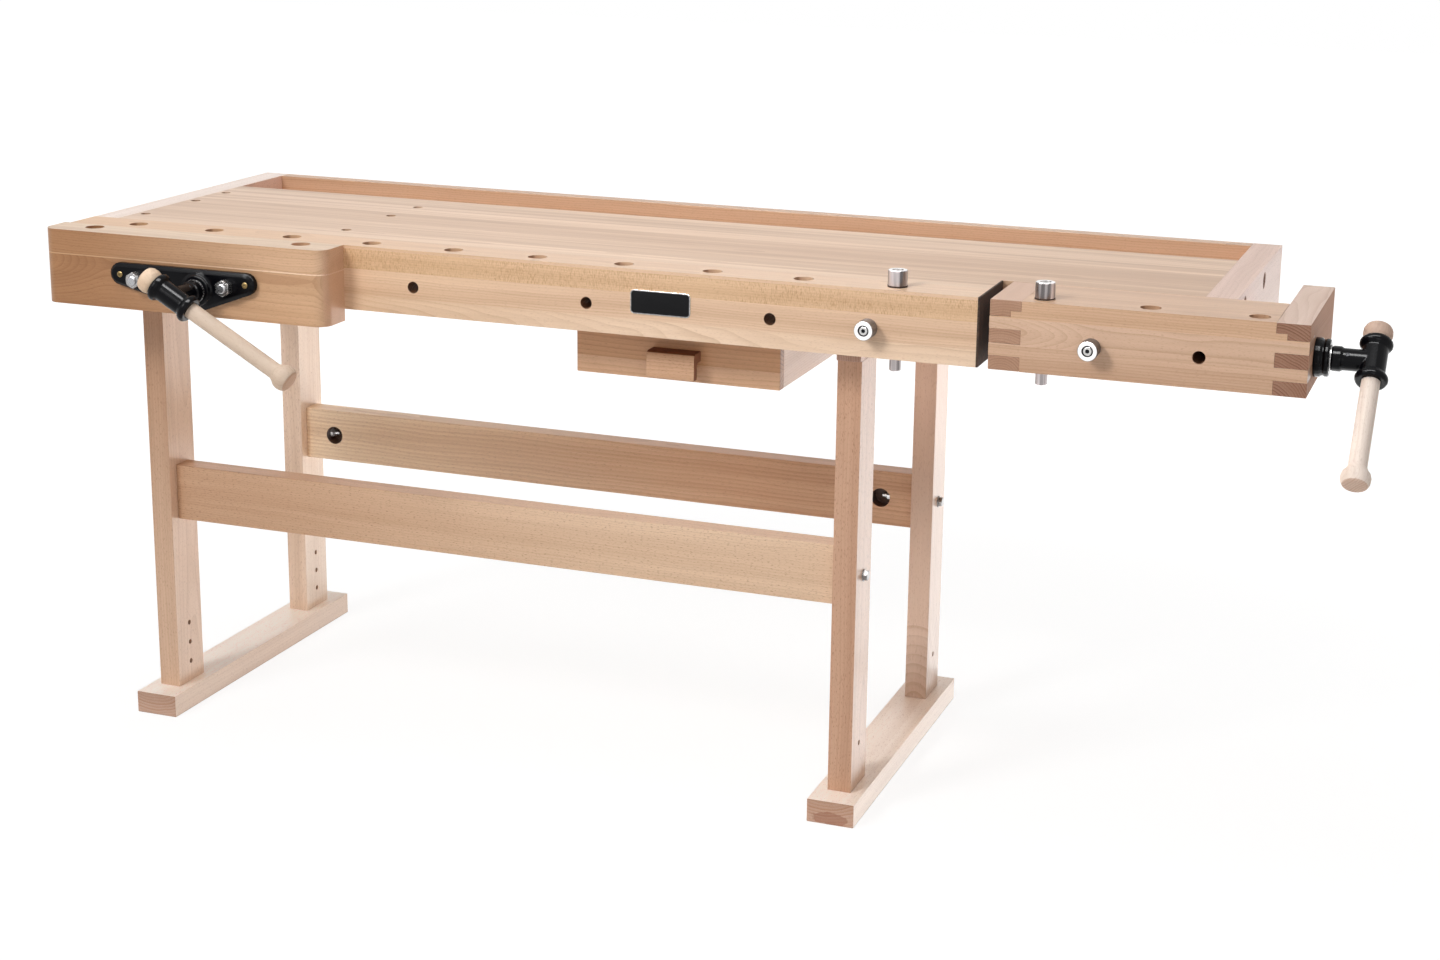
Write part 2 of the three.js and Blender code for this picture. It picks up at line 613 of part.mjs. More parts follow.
function fingers(outer, inward) {
  const full = [outer, outer + inward * TAIL_END].sort((a, b) => a - b);
  const short = [outer, outer + inward * FINGER_STEP_LENGTH].sort((a, b) => a - b);
  const thickness = [TAIL_FRONT, TAIL_BACK + 1];
  const pitch = FINGER + FINGER_GAP;
  const lower = [0, 1].map((row) => APRON_BOTTOM + row * pitch);
  const topStart = APRON_BOTTOM + 2 * pitch;
  return joinAll([
    ...lower.map((z) => box(full, thickness, [z, z + FINGER])),
    box(short, thickness, [topStart, topStart + FINGER_STEP + 1]),
    box(full, thickness, [topStart + FINGER_STEP, TOP]),
  ]);
}
const leftFingers = fingers(TAIL_LEFT, 1);
const rightFingers = fingers(TAIL_RIGHT, -1);
const tailDogs = [0, 1, 2].map((i) => TAIL_LEFT + TAIL_DOG_FIRST + i * TAIL_DOG_PITCH);
const tailFrontHoles = [0.5, 1.5].map((i) => TAIL_LEFT + TAIL_DOG_FIRST + i * TAIL_DOG_PITCH);
const dogBoard = box([TAIL_LEFT, TAIL_RIGHT], [TAIL_FRONT, TAIL_BACK], CARRIAGE_Z);
add('tail_dog_board', cutAll(dogBoard, [
  leftFingers,
  rightFingers,
  ...tailDogs.map((x) => dogHole(x, TAIL_FRONT + DOG_INSET, APRON_BOTTOM)),
  ...tailFrontHoles.map((x) => sideHole(x, TAIL_FRONT, TAIL_BACK)),
]), BEECH);

const cheekBlock = box([TAIL_LEFT, TAIL_INNER_LEFT], [TAIL_BACK, NOTCH_DEPTH - FIT], CARRIAGE_Z);
const keyWay = box(
  [TAIL_LEFT - 1, TAIL_INNER_LEFT + 1],
  [RAIL_KEY_Y[0] - KEY_PLAY, RAIL_KEY_Y[1] + 1],
  [RAIL_KEY_Z[0] - KEY_PLAY, RAIL_KEY_Z[1] + KEY_PLAY],
);
add('tail_cheek', cheekBlock.add(leftFingers).subtract(keyWay), BEECH);

const runnerTenon = box(
  [TAIL_INNER_RIGHT - 1, TAIL_INNER_RIGHT + RUNNER_TENON_LENGTH],
  [RUNNER_Y[0] + RUNNER_TENON, RUNNER_Y[1] - RUNNER_TENON],
  [RUNNER_Z[0] + RUNNER_TENON, RUNNER_Z[1] - RUNNER_TENON],
);
const endBlock = box([TAIL_INNER_RIGHT, TAIL_RIGHT], [TAIL_BACK, TAIL_END_BACK], CARRIAGE_Z);
const tailScrew = [TAIL_SCREW_Y, TAIL_SCREW_Z];
add('tail_end_board', cutAll(endBlock.add(rightFingers), [
  runnerTenon,
  cylinder('x', SCREW + FIT, TAIL_INNER_RIGHT - 1, TAIL_RIGHT + 1, tailScrew),
  cylinder('x', SCREW_SHOULDER + 1, TAIL_RIGHT - SHOULDER_DEPTH - FIT, TAIL_RIGHT + 1, tailScrew),
]), BEECH);
add('tail_cap', box(
  [TAIL_INNER_LEFT, TAIL_INNER_RIGHT],
  [TAIL_BACK, NOTCH_DEPTH - FIT],
  [TOP - TAIL_CAP, TOP],
), BEECH);

// Runner behind the carriage, its guide under the slab, the key on the slab's edge and the screw's nut
const RUNNER_START = TAIL_INNER_RIGHT - RUNNER_LENGTH;
const GUIDE_X = [LENGTH - GUIDE_SETBACK, LENGTH - GUIDE_SETBACK + GUIDE_WIDTH];
add('tail_runner', box([RUNNER_START, TAIL_INNER_RIGHT], RUNNER_Y, RUNNER_Z).add(runnerTenon), BEECH);
const guideBlock = box(
  GUIDE_X,
  [RUNNER_Y[0] - GUIDE_WALL, RUNNER_Y[1] + GUIDE_WALL],
  [RUNNER_Z[0] - GUIDE_WALL + 7, SLAB_BOTTOM],
);
const guideWay = box(
  [GUIDE_X[0] - 1, GUIDE_X[1] + 1],
  [RUNNER_Y[0] - FIT, RUNNER_Y[1] + FIT],
  [RUNNER_Z[0] - FIT, RUNNER_Z[1] + FIT],
);
add('tail_runner_guide', guideBlock.subtract(guideWay), BEECH);
const keyX = [TAIL_LEFT + KEY_MARGIN, LENGTH - CAP_WIDTH - KEY_MARGIN];
add('tail_key', box(keyX, RAIL_KEY_Y, RAIL_KEY_Z), STEEL);
const tailNut = box(
  [LENGTH - CAP_WIDTH, LENGTH],
  [TAIL_BACK + TAIL_NUT_GAP, NOTCH_DEPTH],
  [TAIL_SCREW_Z - TAIL_NUT_HALF, TAIL_SCREW_Z + TAIL_NUT_HALF],
);
const tailNutBore = cylinder('x', SCREW + FIT, LENGTH - CAP_WIDTH - 1, LENGTH + 1, tailScrew);
add('tail_nut', tailNut.subtract(tailNutBore), IRON);

const flange = lathe('x', [
  [0, TAIL_RIGHT],
  [BOSS - 1, TAIL_RIGHT],
  [BOSS - 1, TAIL_RIGHT + 9],
  [BOSS - 3.5, TAIL_RIGHT + 11.5],
  [BOSS - 3.5, TAIL_RIGHT + 14],
  [BOSS - 2, TAIL_RIGHT + 15.5],
  [BOSS - 2, TAIL_RIGHT + BOSS_DEPTH - 2],
  [BOSS - 4, TAIL_RIGHT + BOSS_DEPTH],
  [0, TAIL_RIGHT + BOSS_DEPTH],
], tailScrew);
const flangeBore = cylinder('x', SPIGOT + FIT, TAIL_RIGHT - 1, TAIL_RIGHT + BOSS_DEPTH + 1, tailScrew);
add('tail_flange', flange.subtract(flangeBore), IRON);

// Screw, tee hub and sliding handle, built with the stem along +Y and the handle along Z, then set in place
function hub() {
  const stem = lathe('y', [
    [0, 0],
    [HUB_STEM, 0],
    [HUB_STEM, HUB_REACH - 16],
    [HUB_STEM + 2.2, HUB_REACH - 13],
    [HUB_STEM + 2.2, HUB_REACH - 2],
    [HUB_STEM + 1, HUB_REACH],
    [0, HUB_REACH],
  ], [0, 0]);
  const half = [
    [HUB_TUBE, HUB_HALF - 15],
    [HUB_COLLAR - 1.5, HUB_HALF - 11],
    [HUB_COLLAR, HUB_HALF - 8],
    [HUB_COLLAR, HUB_HALF - 4],
    [HUB_COLLAR - 2.5, HUB_HALF],
  ];
  const mirrored = half.map(([radius, along]) => [radius, -along]).reverse();
  const tube = lathe('z', [[0, -HUB_HALF], ...mirrored, ...half, [0, HUB_HALF]], [0, 0]);
  return cutAll(stem.add(tube), [
    cylinder('z', HUB_BORE, -HUB_HALF - 1, HUB_HALF + 1, [0, 0]),
    cylinder('y', SPIGOT, HUB_REACH - SPIGOT_LENGTH, HUB_REACH + 1, [0, 0]),
  ]);
}

function screw(end) {
  const shoulder = HUB_REACH + WASHER + BOSS_DEPTH;
  return lathe('y', [
    [0, HUB_REACH - SPIGOT_LENGTH],
    [SPIGOT, HUB_REACH - SPIGOT_LENGTH],
    [SPIGOT, shoulder + FIT],
    [SCREW_SHOULDER, shoulder + FIT],
    [SCREW_SHOULDER, shoulder + SHOULDER_DEPTH],
    [SCREW, shoulder + SHOULDER_DEPTH],
    [SCREW, end - 3],
    [SCREW - 3, end],
    [0, end],
  ], [0, 0]);
}

function washer() {
  const ring = cylinder('y', HUB_STEM + 3, HUB_REACH, HUB_REACH + WASHER, [0, 0]);
  return ring.subtract(cylinder('y', SPIGOT, HUB_REACH - 1, HUB_REACH + WASHER + 1, [0, 0]));
}

const UPPER_SHOULDER = HUB_HALF + FIT;
const BAR_SPIGOT = 8;
const BAR_SPIGOT_LENGTH = 15;

function knobProfile(shoulder, outward) {
  return [
    [HANDLE + 3, shoulder],
    [KNOB - 1.5, shoulder + outward * 5],
    [KNOB, shoulder + outward * 11],
    [KNOB - 0.5, shoulder + outward * 18],
    [KNOB - 3, shoulder + outward * 23.5],
    [KNOB - 8, shoulder + outward * KNOB_LENGTH],
    [0, shoulder + outward * KNOB_LENGTH],
  ];
}

function bar(span) {
  const lowerShoulder = UPPER_SHOULDER - span;
  return lathe('z', [
    ...knobProfile(lowerShoulder, -1).reverse(),
    [HANDLE, lowerShoulder + 7],
    [HANDLE, UPPER_SHOULDER],
    [BAR_SPIGOT, UPPER_SHOULDER],
    [BAR_SPIGOT, UPPER_SHOULDER + BAR_SPIGOT_LENGTH],
    [0, UPPER_SHOULDER + BAR_SPIGOT_LENGTH],
  ], [0, 0]);
}

function knob() {
  const turned = lathe('z', [[0, UPPER_SHOULDER], ...knobProfile(UPPER_SHOULDER, 1)], [0, 0]);
  const socket = [UPPER_SHOULDER - 1, UPPER_SHOULDER + BAR_SPIGOT_LENGTH + FIT];
  return turned.subtract(cylinder('z', BAR_SPIGOT, ...socket, [0, 0]));
}

function addScrewSet(prefix, origin, stemAxis, handleAxis, screwEnd, handleSpan) {
  const side = new THREE.Vector3().crossVectors(stemAxis, handleAxis);
  const frame = new THREE.Matrix4().makeBasis(side, stemAxis, handleAxis).setPosition(origin);
  const columns = frame.elements;
  add(`${prefix}_screw`, screw(screwEnd).transform(columns), STEEL);
  add(`${prefix}_hub`, hub().transform(columns), IRON);
  add(`${prefix}_washer`, washer().transform(columns), STEEL);
  add(`${prefix}_handle`, bar(handleSpan).transform(columns), PALE_BEECH);
  add(`${prefix}_handle_knob`, knob().transform(columns), PALE_BEECH);
}
const dip = THREE.MathUtils.degToRad(FRONT_HANDLE_DIP);
addScrewSet(
  'front',
  new THREE.Vector3(FRONT_SCREW_X, FRONT_TEE_Y, FRONT_SCREW_Z),
  new THREE.Vector3(0, 1, 0),
  new THREE.Vector3(-Math.cos(dip), 0, Math.sin(dip)),
  ROD_BACK - FRONT_SCREW_SETBACK - FRONT_TEE_Y,
  FRONT_HANDLE_SPAN,
);
const lean = THREE.MathUtils.degToRad(TAIL_HANDLE_LEAN);
addScrewSet(
  'tail',
  new THREE.Vector3(TAIL_TEE_X, TAIL_SCREW_Y, TAIL_SCREW_Z),
  new THREE.Vector3(-1, 0, 0),
  new THREE.Vector3(0, Math.sin(lean), Math.cos(lean)),
  TAIL_TEE_X - TAIL_INNER_LEFT - TAIL_SCREW_SETBACK,
  TAIL_HANDLE_SPAN,
);

// Drawer: lapped front, grooved sides, back, bottom panel and a hooked pull, hung on two runners
const DRAWER_X = [DRAWER_LEFT, DRAWER_RIGHT];
const DRAWER_Z = [DRAWER_BOTTOM, DRAWER_TOP];
const SIDE_START = DRAWER_FRONT + DRAWER_FRONT_THICKNESS;
const LAP = 8;
const PANEL_Z = [DRAWER_BOTTOM + 8, DRAWER_BOTTOM + 8 + DRAWER_PANEL];
const PANEL_INSET = DRAWER_SIDE - GROOVE;
const TRACK_Z = [DRAWER_TOP - 19, DRAWER_TOP - 9];
const drawerPanel = box(
  [DRAWER_LEFT + PANEL_INSET, DRAWER_RIGHT - PANEL_INSET],
  [SIDE_START - GROOVE, DRAWER_BACK - DRAWER_SIDE],
  PANEL_Z,
);
const sideXs = [
  [DRAWER_LEFT, DRAWER_LEFT + DRAWER_SIDE],
  [DRAWER_RIGHT - DRAWER_SIDE, DRAWER_RIGHT],
];
const lapXs = [
  [DRAWER_LEFT + 5, DRAWER_LEFT + DRAWER_SIDE],
  [DRAWER_RIGHT - DRAWER_SIDE, DRAWER_RIGHT - 5],
];
const laps = lapXs.map((x) => box(x, [SIDE_START - LAP, SIDE_START + 1], DRAWER_Z));
const drawerFace = box(DRAWER_X, [DRAWER_FRONT, SIDE_START], DRAWER_Z);
add('drawer_front', cutAll(drawerFace, [...laps, drawerPanel]), BEECH);

sideXs.forEach((x, side) => {
  const outer = side === 0 ? x[0] : x[1];
  const board = box(x, [SIDE_START, DRAWER_BACK], DRAWER_Z).add(laps[side]);
  const track = box(
    [outer - LAP - FIT, outer + LAP + FIT],
    [SIDE_START, DRAWER_BACK + 1],
    [TRACK_Z[0] - FIT, TRACK_Z[1] + FIT],
  );
  add(`drawer_side_${SIDES[side]}`, cutAll(board, [track, drawerPanel]), BEECH);

  const outward = side === 0 ? -1 : 1;
  const wallX = [outer + outward, outer + outward * (1 + RUNNER_THICKNESS)].sort((a, b) => a - b);
  const tongueX = [outer + outward * 2, outer - outward * LAP].sort((a, b) => a - b);
  const runnerY = [SIDE_START + 2, FLOOR_FRONT];
  const wall = box(wallX, runnerY, [TRACK_Z[0] - 4, SLAB_BOTTOM]);
  const tongue = box(tongueX, runnerY, TRACK_Z);
  add(`drawer_runner_${SIDES[side]}`, wall.add(tongue), BEECH);
});
add('drawer_back', box(
  [DRAWER_LEFT + DRAWER_SIDE, DRAWER_RIGHT - DRAWER_SIDE],
  [DRAWER_BACK - DRAWER_SIDE, DRAWER_BACK],
  [PANEL_Z[0], DRAWER_TOP - 6],
), BEECH);
add('drawer_bottom', drawerPanel, PLYWOOD);

const PULL_REACH = 31;
const PULL_LIP = 14;
const PULL_BOTTOM = 9;
const PULL_ARM = 36;
const PULL_TOP = 53;
const pullProfile = [
  [0, PULL_ARM],
  [-PULL_REACH + PULL_LIP + 4, PULL_ARM],
  [-PULL_REACH + PULL_LIP, PULL_ARM - 4],
  [-PULL_REACH + PULL_LIP, PULL_BOTTOM],
  [-PULL_REACH, PULL_BOTTOM],
  [-PULL_REACH, PULL_TOP - 7],
  [-PULL_REACH + 2, PULL_TOP - 2.5],
  [-PULL_REACH + 7, PULL_TOP],
  [0, PULL_TOP],
];
const pull = extrude(pullProfile, PULL_WIDTH);
const acrossFront = new THREE.Matrix4().makeBasis(
  new THREE.Vector3(0, 1, 0),
  new THREE.Vector3(0, 0, 1),
  new THREE.Vector3(1, 0, 0),
);
pull.applyMatrix4(acrossFront);
pull.translate((DRAWER_LEFT + DRAWER_RIGHT - PULL_WIDTH) / 2, DRAWER_FRONT, DRAWER_BOTTOM);
add('drawer_pull', solid(pull), BEECH);

// Bench dogs: turned head with a shallow recess in its face, and a plain shank
const DOG_RECESS = 8.5;

function dog(axis, outward, base, shank, centre) {
  const face = DOG_HEAD_HEIGHT;
  const profile = [
    [0, -shank],
    [DOG_SHANK - 1.5, -shank],
    [DOG_SHANK, -shank + 1.5],
    [DOG_SHANK, 0],
    [DOG_HEAD, 0],
    [DOG_HEAD, face - 1],
    [DOG_HEAD - 1, face],
    [DOG_RECESS, face],
    [DOG_RECESS, face - 3],
    [0, face - 3],
  ];
  const turned = profile.map(([radius, along]) => [radius, base + outward * along]);
  return lathe(axis, outward > 0 ? turned : turned.reverse(), centre);
}
const LONG_SHANK = 131;
const SHORT_SHANK = 52;
const dogSpots = { dog: [apronDogs.at(-1), DOG_INSET, FRONT_HOLES.at(-1), 0] };
dogSpots.tail_dog = [tailDogs[0], TAIL_FRONT + DOG_INSET, tailFrontHoles[0], TAIL_FRONT];
Object.entries(dogSpots).forEach(([prefix, [topX, topY, frontX, frontY]]) => {
  add(`${prefix}_top`, dog('z', 1, TOP, LONG_SHANK, [topX, topY]), ALUMINIUM);
  add(`${prefix}_front`, dog('y', -1, frontY, SHORT_SHANK, [frontX, FRONT_HOLE_Z]), ALUMINIUM);
});

// Origin at the bottom centre of the whole bench
const extent = new THREE.Box3().setFromObject(bench);
const centre = extent.getCenter(new THREE.Vector3());
bench.children.forEach((piece) => piece.geometry.translate(-centre.x, -centre.y, -extent.min.z));

export default bench;
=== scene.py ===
"""Looks of a joiner's beech workbench with a front vise and a tail vise."""

import math

import bmesh
import bpy
from mathutils import Matrix, Vector


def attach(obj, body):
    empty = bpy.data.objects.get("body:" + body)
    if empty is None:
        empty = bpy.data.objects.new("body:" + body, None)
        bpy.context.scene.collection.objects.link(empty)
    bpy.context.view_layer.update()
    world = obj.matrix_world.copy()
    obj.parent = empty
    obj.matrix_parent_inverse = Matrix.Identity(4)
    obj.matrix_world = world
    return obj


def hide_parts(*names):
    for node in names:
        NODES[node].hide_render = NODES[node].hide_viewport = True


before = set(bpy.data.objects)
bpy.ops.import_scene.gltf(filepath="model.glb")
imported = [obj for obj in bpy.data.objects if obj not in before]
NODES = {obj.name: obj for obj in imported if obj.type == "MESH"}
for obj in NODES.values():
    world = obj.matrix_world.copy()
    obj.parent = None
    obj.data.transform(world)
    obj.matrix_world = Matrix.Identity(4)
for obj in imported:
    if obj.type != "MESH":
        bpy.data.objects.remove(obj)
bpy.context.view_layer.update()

# Bench measures are millimetres from the bench's left end, the apron's face and the floor.
ORIGIN = Vector((1090.0, 246.25, 0.0))
X, Y, Z = Vector((1, 0, 0)), Vector((0, 1, 0)), Vector((0, 0, 1))


def at(x, y, z):
    """A bench measure as a point of the frame, in metres."""
    return (Vector((x, y, z)) - ORIGIN) / 1000


def srgb(r, g, b):
    """A screen colour from 0 to 255 as linear RGBA."""
    out = []
    for value in (r, g, b):
        c = value / 255
        out.append(c / 12.92 if c <= 0.04045 else ((c + 0.055) / 1.055) ** 2.4)
    return (*out, 1.0)


# Node trees

class Tree:
    """Short calls for building a node tree."""

    def __init__(self, tree):
        self.tree = tree

    def node(self, kind, inputs=None, **settings):
        made = self.tree.nodes.new(kind)
        for key, value in settings.items():
            setattr(made, key, value)
        for key, value in (inputs or {}).items():
            self.put(made.inputs[key], value)
        return made

    def put(self, socket, value):
        if isinstance(value, bpy.types.NodeSocket):
            self.tree.links.new(value, socket)
        else:
            socket.default_value = value

    def math(self, operation, *values, clamp=False):
        made = self.node("ShaderNodeMath", operation=operation, use_clamp=clamp)
        for index, value in enumerate(values):
            self.put(made.inputs[index], value)
        return made.outputs[0]

    def vector(self, operation, *values):
        made = self.node("ShaderNodeVectorMath", operation=operation)
        for index, value in enumerate(values):
            self.put(made.inputs[index], value)
        number = operation in ("DOT_PRODUCT", "LENGTH", "DISTANCE")
        return made.outputs["Value" if number else "Vector"]

    def noise(self, vector, scale, detail=2.0, rough=0.5):
        made = self.node("ShaderNodeTexNoise", {"Vector": vector, "Scale": scale, "Detail": detail,
                                                "Roughness": rough})
        return made.outputs[0]

    def ramp(self, value, low, high, smooth=True):
        made = self.node("ShaderNodeMapRange", {"Value": value, "From Min": low, "From Max": high},
                         interpolation_type="SMOOTHSTEP" if smooth else "LINEAR")
        return made.outputs[0]

    def mix(self, factor, a, b, blend="MIX"):
        made = self.node("ShaderNodeMix", data_type="RGBA", blend_type=blend)
        self.put(made.inputs[0], factor)
        self.put(made.inputs[6], a)
        self.put(made.inputs[7], b)
        return made.outputs[2]

    def xyz(self, x, y, z):
        return self.node("ShaderNodeCombineXYZ", {0: x, 1: y, 2: z}).outputs[0]


def material(name):
    made = bpy.data.materials.new(name)
    made.use_nodes = True
    tree = made.node_tree
    tree.nodes.clear()
    build = Tree(tree)
    shader = build.node("ShaderNodeBsdfPrincipled")
    build.node("ShaderNodeOutputMaterial", {"Surface": shader.outputs[0]})
    return made, build, shader


def figure_group():
    """Beech as a solid figure: growth rings round a heart, streaks, ray flecks and glued boards.

    A place is (along the grain, across the boards, depth). Each board has its heart at its middle and at
    Depth. From Start the heart leaves the face at a Slope, up to a Reach, which draws arches there."""
    group = bpy.data.node_groups.new("beech_figure", "ShaderNodeTree")
    numbers = ("End", "Seed", "Board", "Centre", "Depth", "Start", "Slope", "Reach", "Stray", "Rings", "Ring",
               "Fleck", "Stroke", "Contrast", "Spread", "Streak", "Saw")
    group.interface.new_socket("Place", in_out="INPUT", socket_type="NodeSocketVector")
    for name in numbers:
        group.interface.new_socket(name, in_out="INPUT", socket_type="NodeSocketFloat")
    for name in ("Light", "Dark", "Sawn"):
        group.interface.new_socket(name, in_out="INPUT", socket_type="NodeSocketColor")
    group.interface.new_socket("Colour", in_out="OUTPUT", socket_type="NodeSocketColor")
    group.interface.new_socket("Height", in_out="OUTPUT", socket_type="NodeSocketFloat")
    t = Tree(group)
    given = t.node("NodeGroupInput").outputs
    parts = t.node("ShaderNodeSeparateXYZ", {0: given["Place"]}).outputs
    u, v, w = parts[0], parts[1], parts[2]

    def scaled(along, across, deep):
        return t.xyz(t.math("MULTIPLY", start, along), t.math("MULTIPLY", v, across), t.math("MULTIPLY", w, deep))

    def swing(value, size):
        return t.math("MULTIPLY", t.math("SUBTRACT", value, 0.5), size)

    # Boards, each with three numbers of its own
    boards = t.math("ADD", t.math("DIVIDE", t.math("SUBTRACT", v, given["Centre"]), given["Board"]), 0.5)
    within = t.math("FRACT", boards)
    key = t.math("ADD", t.math("FLOOR", boards), t.math("MULTIPLY", given["Seed"], 17.3))
    dice = t.node("ShaderNodeTexWhiteNoise", {"W": key}, noise_dimensions="1D").outputs["Color"]
    rolls = t.node("ShaderNodeSeparateColor", {0: dice}).outputs
    start = t.math("ADD", u, t.math("MULTIPLY", rolls[0], 7.0))

    # Growth rings
    warp = swing(t.noise(scaled(1.6, 5.0, 5.0), 1.0, 2.0), 0.03)
    ripple = swing(t.noise(scaled(7.0, 30.0, 30.0), 1.0, 1.0), 0.006)
    stray = t.math("MULTIPLY", given["Stray"], swing(rolls[1], 0.09))
    dv = t.math("ADD", swing(within, given["Board"]), t.math("ADD", stray, t.math("ADD", warp, ripple)))
    leaving = t.math("MULTIPLY", t.math("SUBTRACT", u, given["Start"]), given["Slope"])
    leaving = t.math("SMOOTH_MIN", leaving, given["Reach"], 0.008)
    dw = t.math("ADD", t.math("SUBTRACT", w, given["Depth"]), t.math("ADD", leaving, t.math("ADD", stray, ripple)))
    radius = t.math("SQRT", t.math("ADD", t.math("MULTIPLY", dv, dv), t.math("MULTIPLY", dw, dw)))
    turns = t.math("MULTIPLY", radius, given["Rings"])
    year = t.node("ShaderNodeTexWhiteNoise", {"W": t.math("ADD", t.math("FLOOR", turns), key)},
                  noise_dimensions="1D").outputs["Value"]
    late = t.math("MULTIPLY", t.math("POWER", t.math("FRACT", turns), 3.0), t.math("ADD", 0.35, year))

    # Broad tones along the rings, fibres, long streaks, dashes and upright flecks
    broad = t.ramp(t.noise(t.xyz(t.math("MULTIPLY", radius, 40.0), t.math("MULTIPLY", start, 0.8), key), 1.0, 3.0),
                   0.3, 0.7)
    fibre = t.noise(scaled(6.0, 260.0, 260.0), 1.0, 3.0, 0.6)
    band = t.ramp(t.noise(scaled(0.7, 34.0, 34.0), 1.0, 3.0, 0.55), 0.42, 0.68)
    dash = t.ramp(t.noise(scaled(170.0, 760.0, 760.0), 1.0, 1.0), 0.57, 0.74)
    stroke = t.ramp(t.noise(scaled(820.0, 150.0, 200.0), 1.0, 2.0), 0.46, 0.68)
    patch = t.ramp(t.noise(scaled(7.0, 45.0, 0.0), 1.0), 0.22, 0.6)

    shade = t.math("ADD", t.math("MULTIPLY", broad, 0.4), t.math("MULTIPLY", fibre, 0.4))
    shade = t.math("MULTIPLY", shade, given["Contrast"])
    shade = t.math("ADD", shade, t.math("MULTIPLY", late, given["Ring"]), clamp=True)
    colour = t.mix(shade, given["Light"], given["Dark"])
    brown = t.math("ADD", t.math("MULTIPLY", rolls[2], given["Spread"]),
                   t.math("MULTIPLY", band, given["Streak"]), clamp=True)
    colour = t.mix(1.0, colour, t.mix(brown, (1.05, 1.06, 1.07, 1.0), (0.78, 0.69, 0.61, 1.0)), "MULTIPLY")
    colour = t.mix(t.math("MULTIPLY", dash, given["Fleck"]), colour, srgb(156, 110, 78))
    colour = t.mix(t.math("MULTIPLY", t.math("MULTIPLY", stroke, patch), given["Stroke"]), colour, srgb(168, 118, 72))
    seam = t.math("ABSOLUTE", t.math("SUBTRACT", within, 0.5))
    colour = t.mix(t.math("MULTIPLY", t.ramp(seam, 0.49, 0.4995), 0.25), colour, srgb(150, 104, 70))

    # Sawn ends are darker, with rings and pores
    pore = t.ramp(t.noise(scaled(30.0, 900.0, 900.0), 1.0, 2.0), 0.5, 0.7)
    rough = t.math("MULTIPLY", t.math("MULTIPLY", late, given["Ring"]), 0.9)
    sawn = t.mix(t.math("ADD", given["Saw"], rough, clamp=True), colour, given["Sawn"])
    sawn = t.mix(t.math("MULTIPLY", pore, 0.25), sawn, srgb(112, 74, 50))
    colour = t.mix(given["End"], colour, sawn)
    height = t.math("SUBTRACT", t.math("MULTIPLY", fibre, 0.6), t.math("MULTIPLY", dash, 0.4))
    t.node("NodeGroupOutput", {"Colour": colour, "Height": height})
    return group


FIGURE = figure_group()


def tone(r, g, b):
    """Light and dark wood either side of a mean screen colour."""
    red, green, blue, _ = srgb(r, g, b)
    return {"Light": (red * 1.12, green * 1.16, blue * 1.2, 1.0),
            "Dark": (red * 0.86, green * 0.81, blue * 0.76, 1.0)}


PLAIN = {"Seed": 1.0, "Board": 0.9, "Centre": 0.0, "Depth": 0.0, "Start": 0.0, "Slope": 0.0, "Reach": 0.03,
         "Stray": 0.0, "Rings": 250.0, "Ring": 0.4, "Fleck": 0.3, "Stroke": 0.0, "Contrast": 1.0, "Spread": 0.0, "Streak": 0.25,
         "Saw": 0.5, "Sawn": srgb(142, 98, 70)}


# Painted shade inside the dog holes and the stretchers' access holes: tints that darken the bore walls
BORE_SHADE_TINT = (0.34, 0.25, 0.2, 1.0)
POCKET_SHADE_TINT = (0.12, 0.08, 0.07, 1.0)


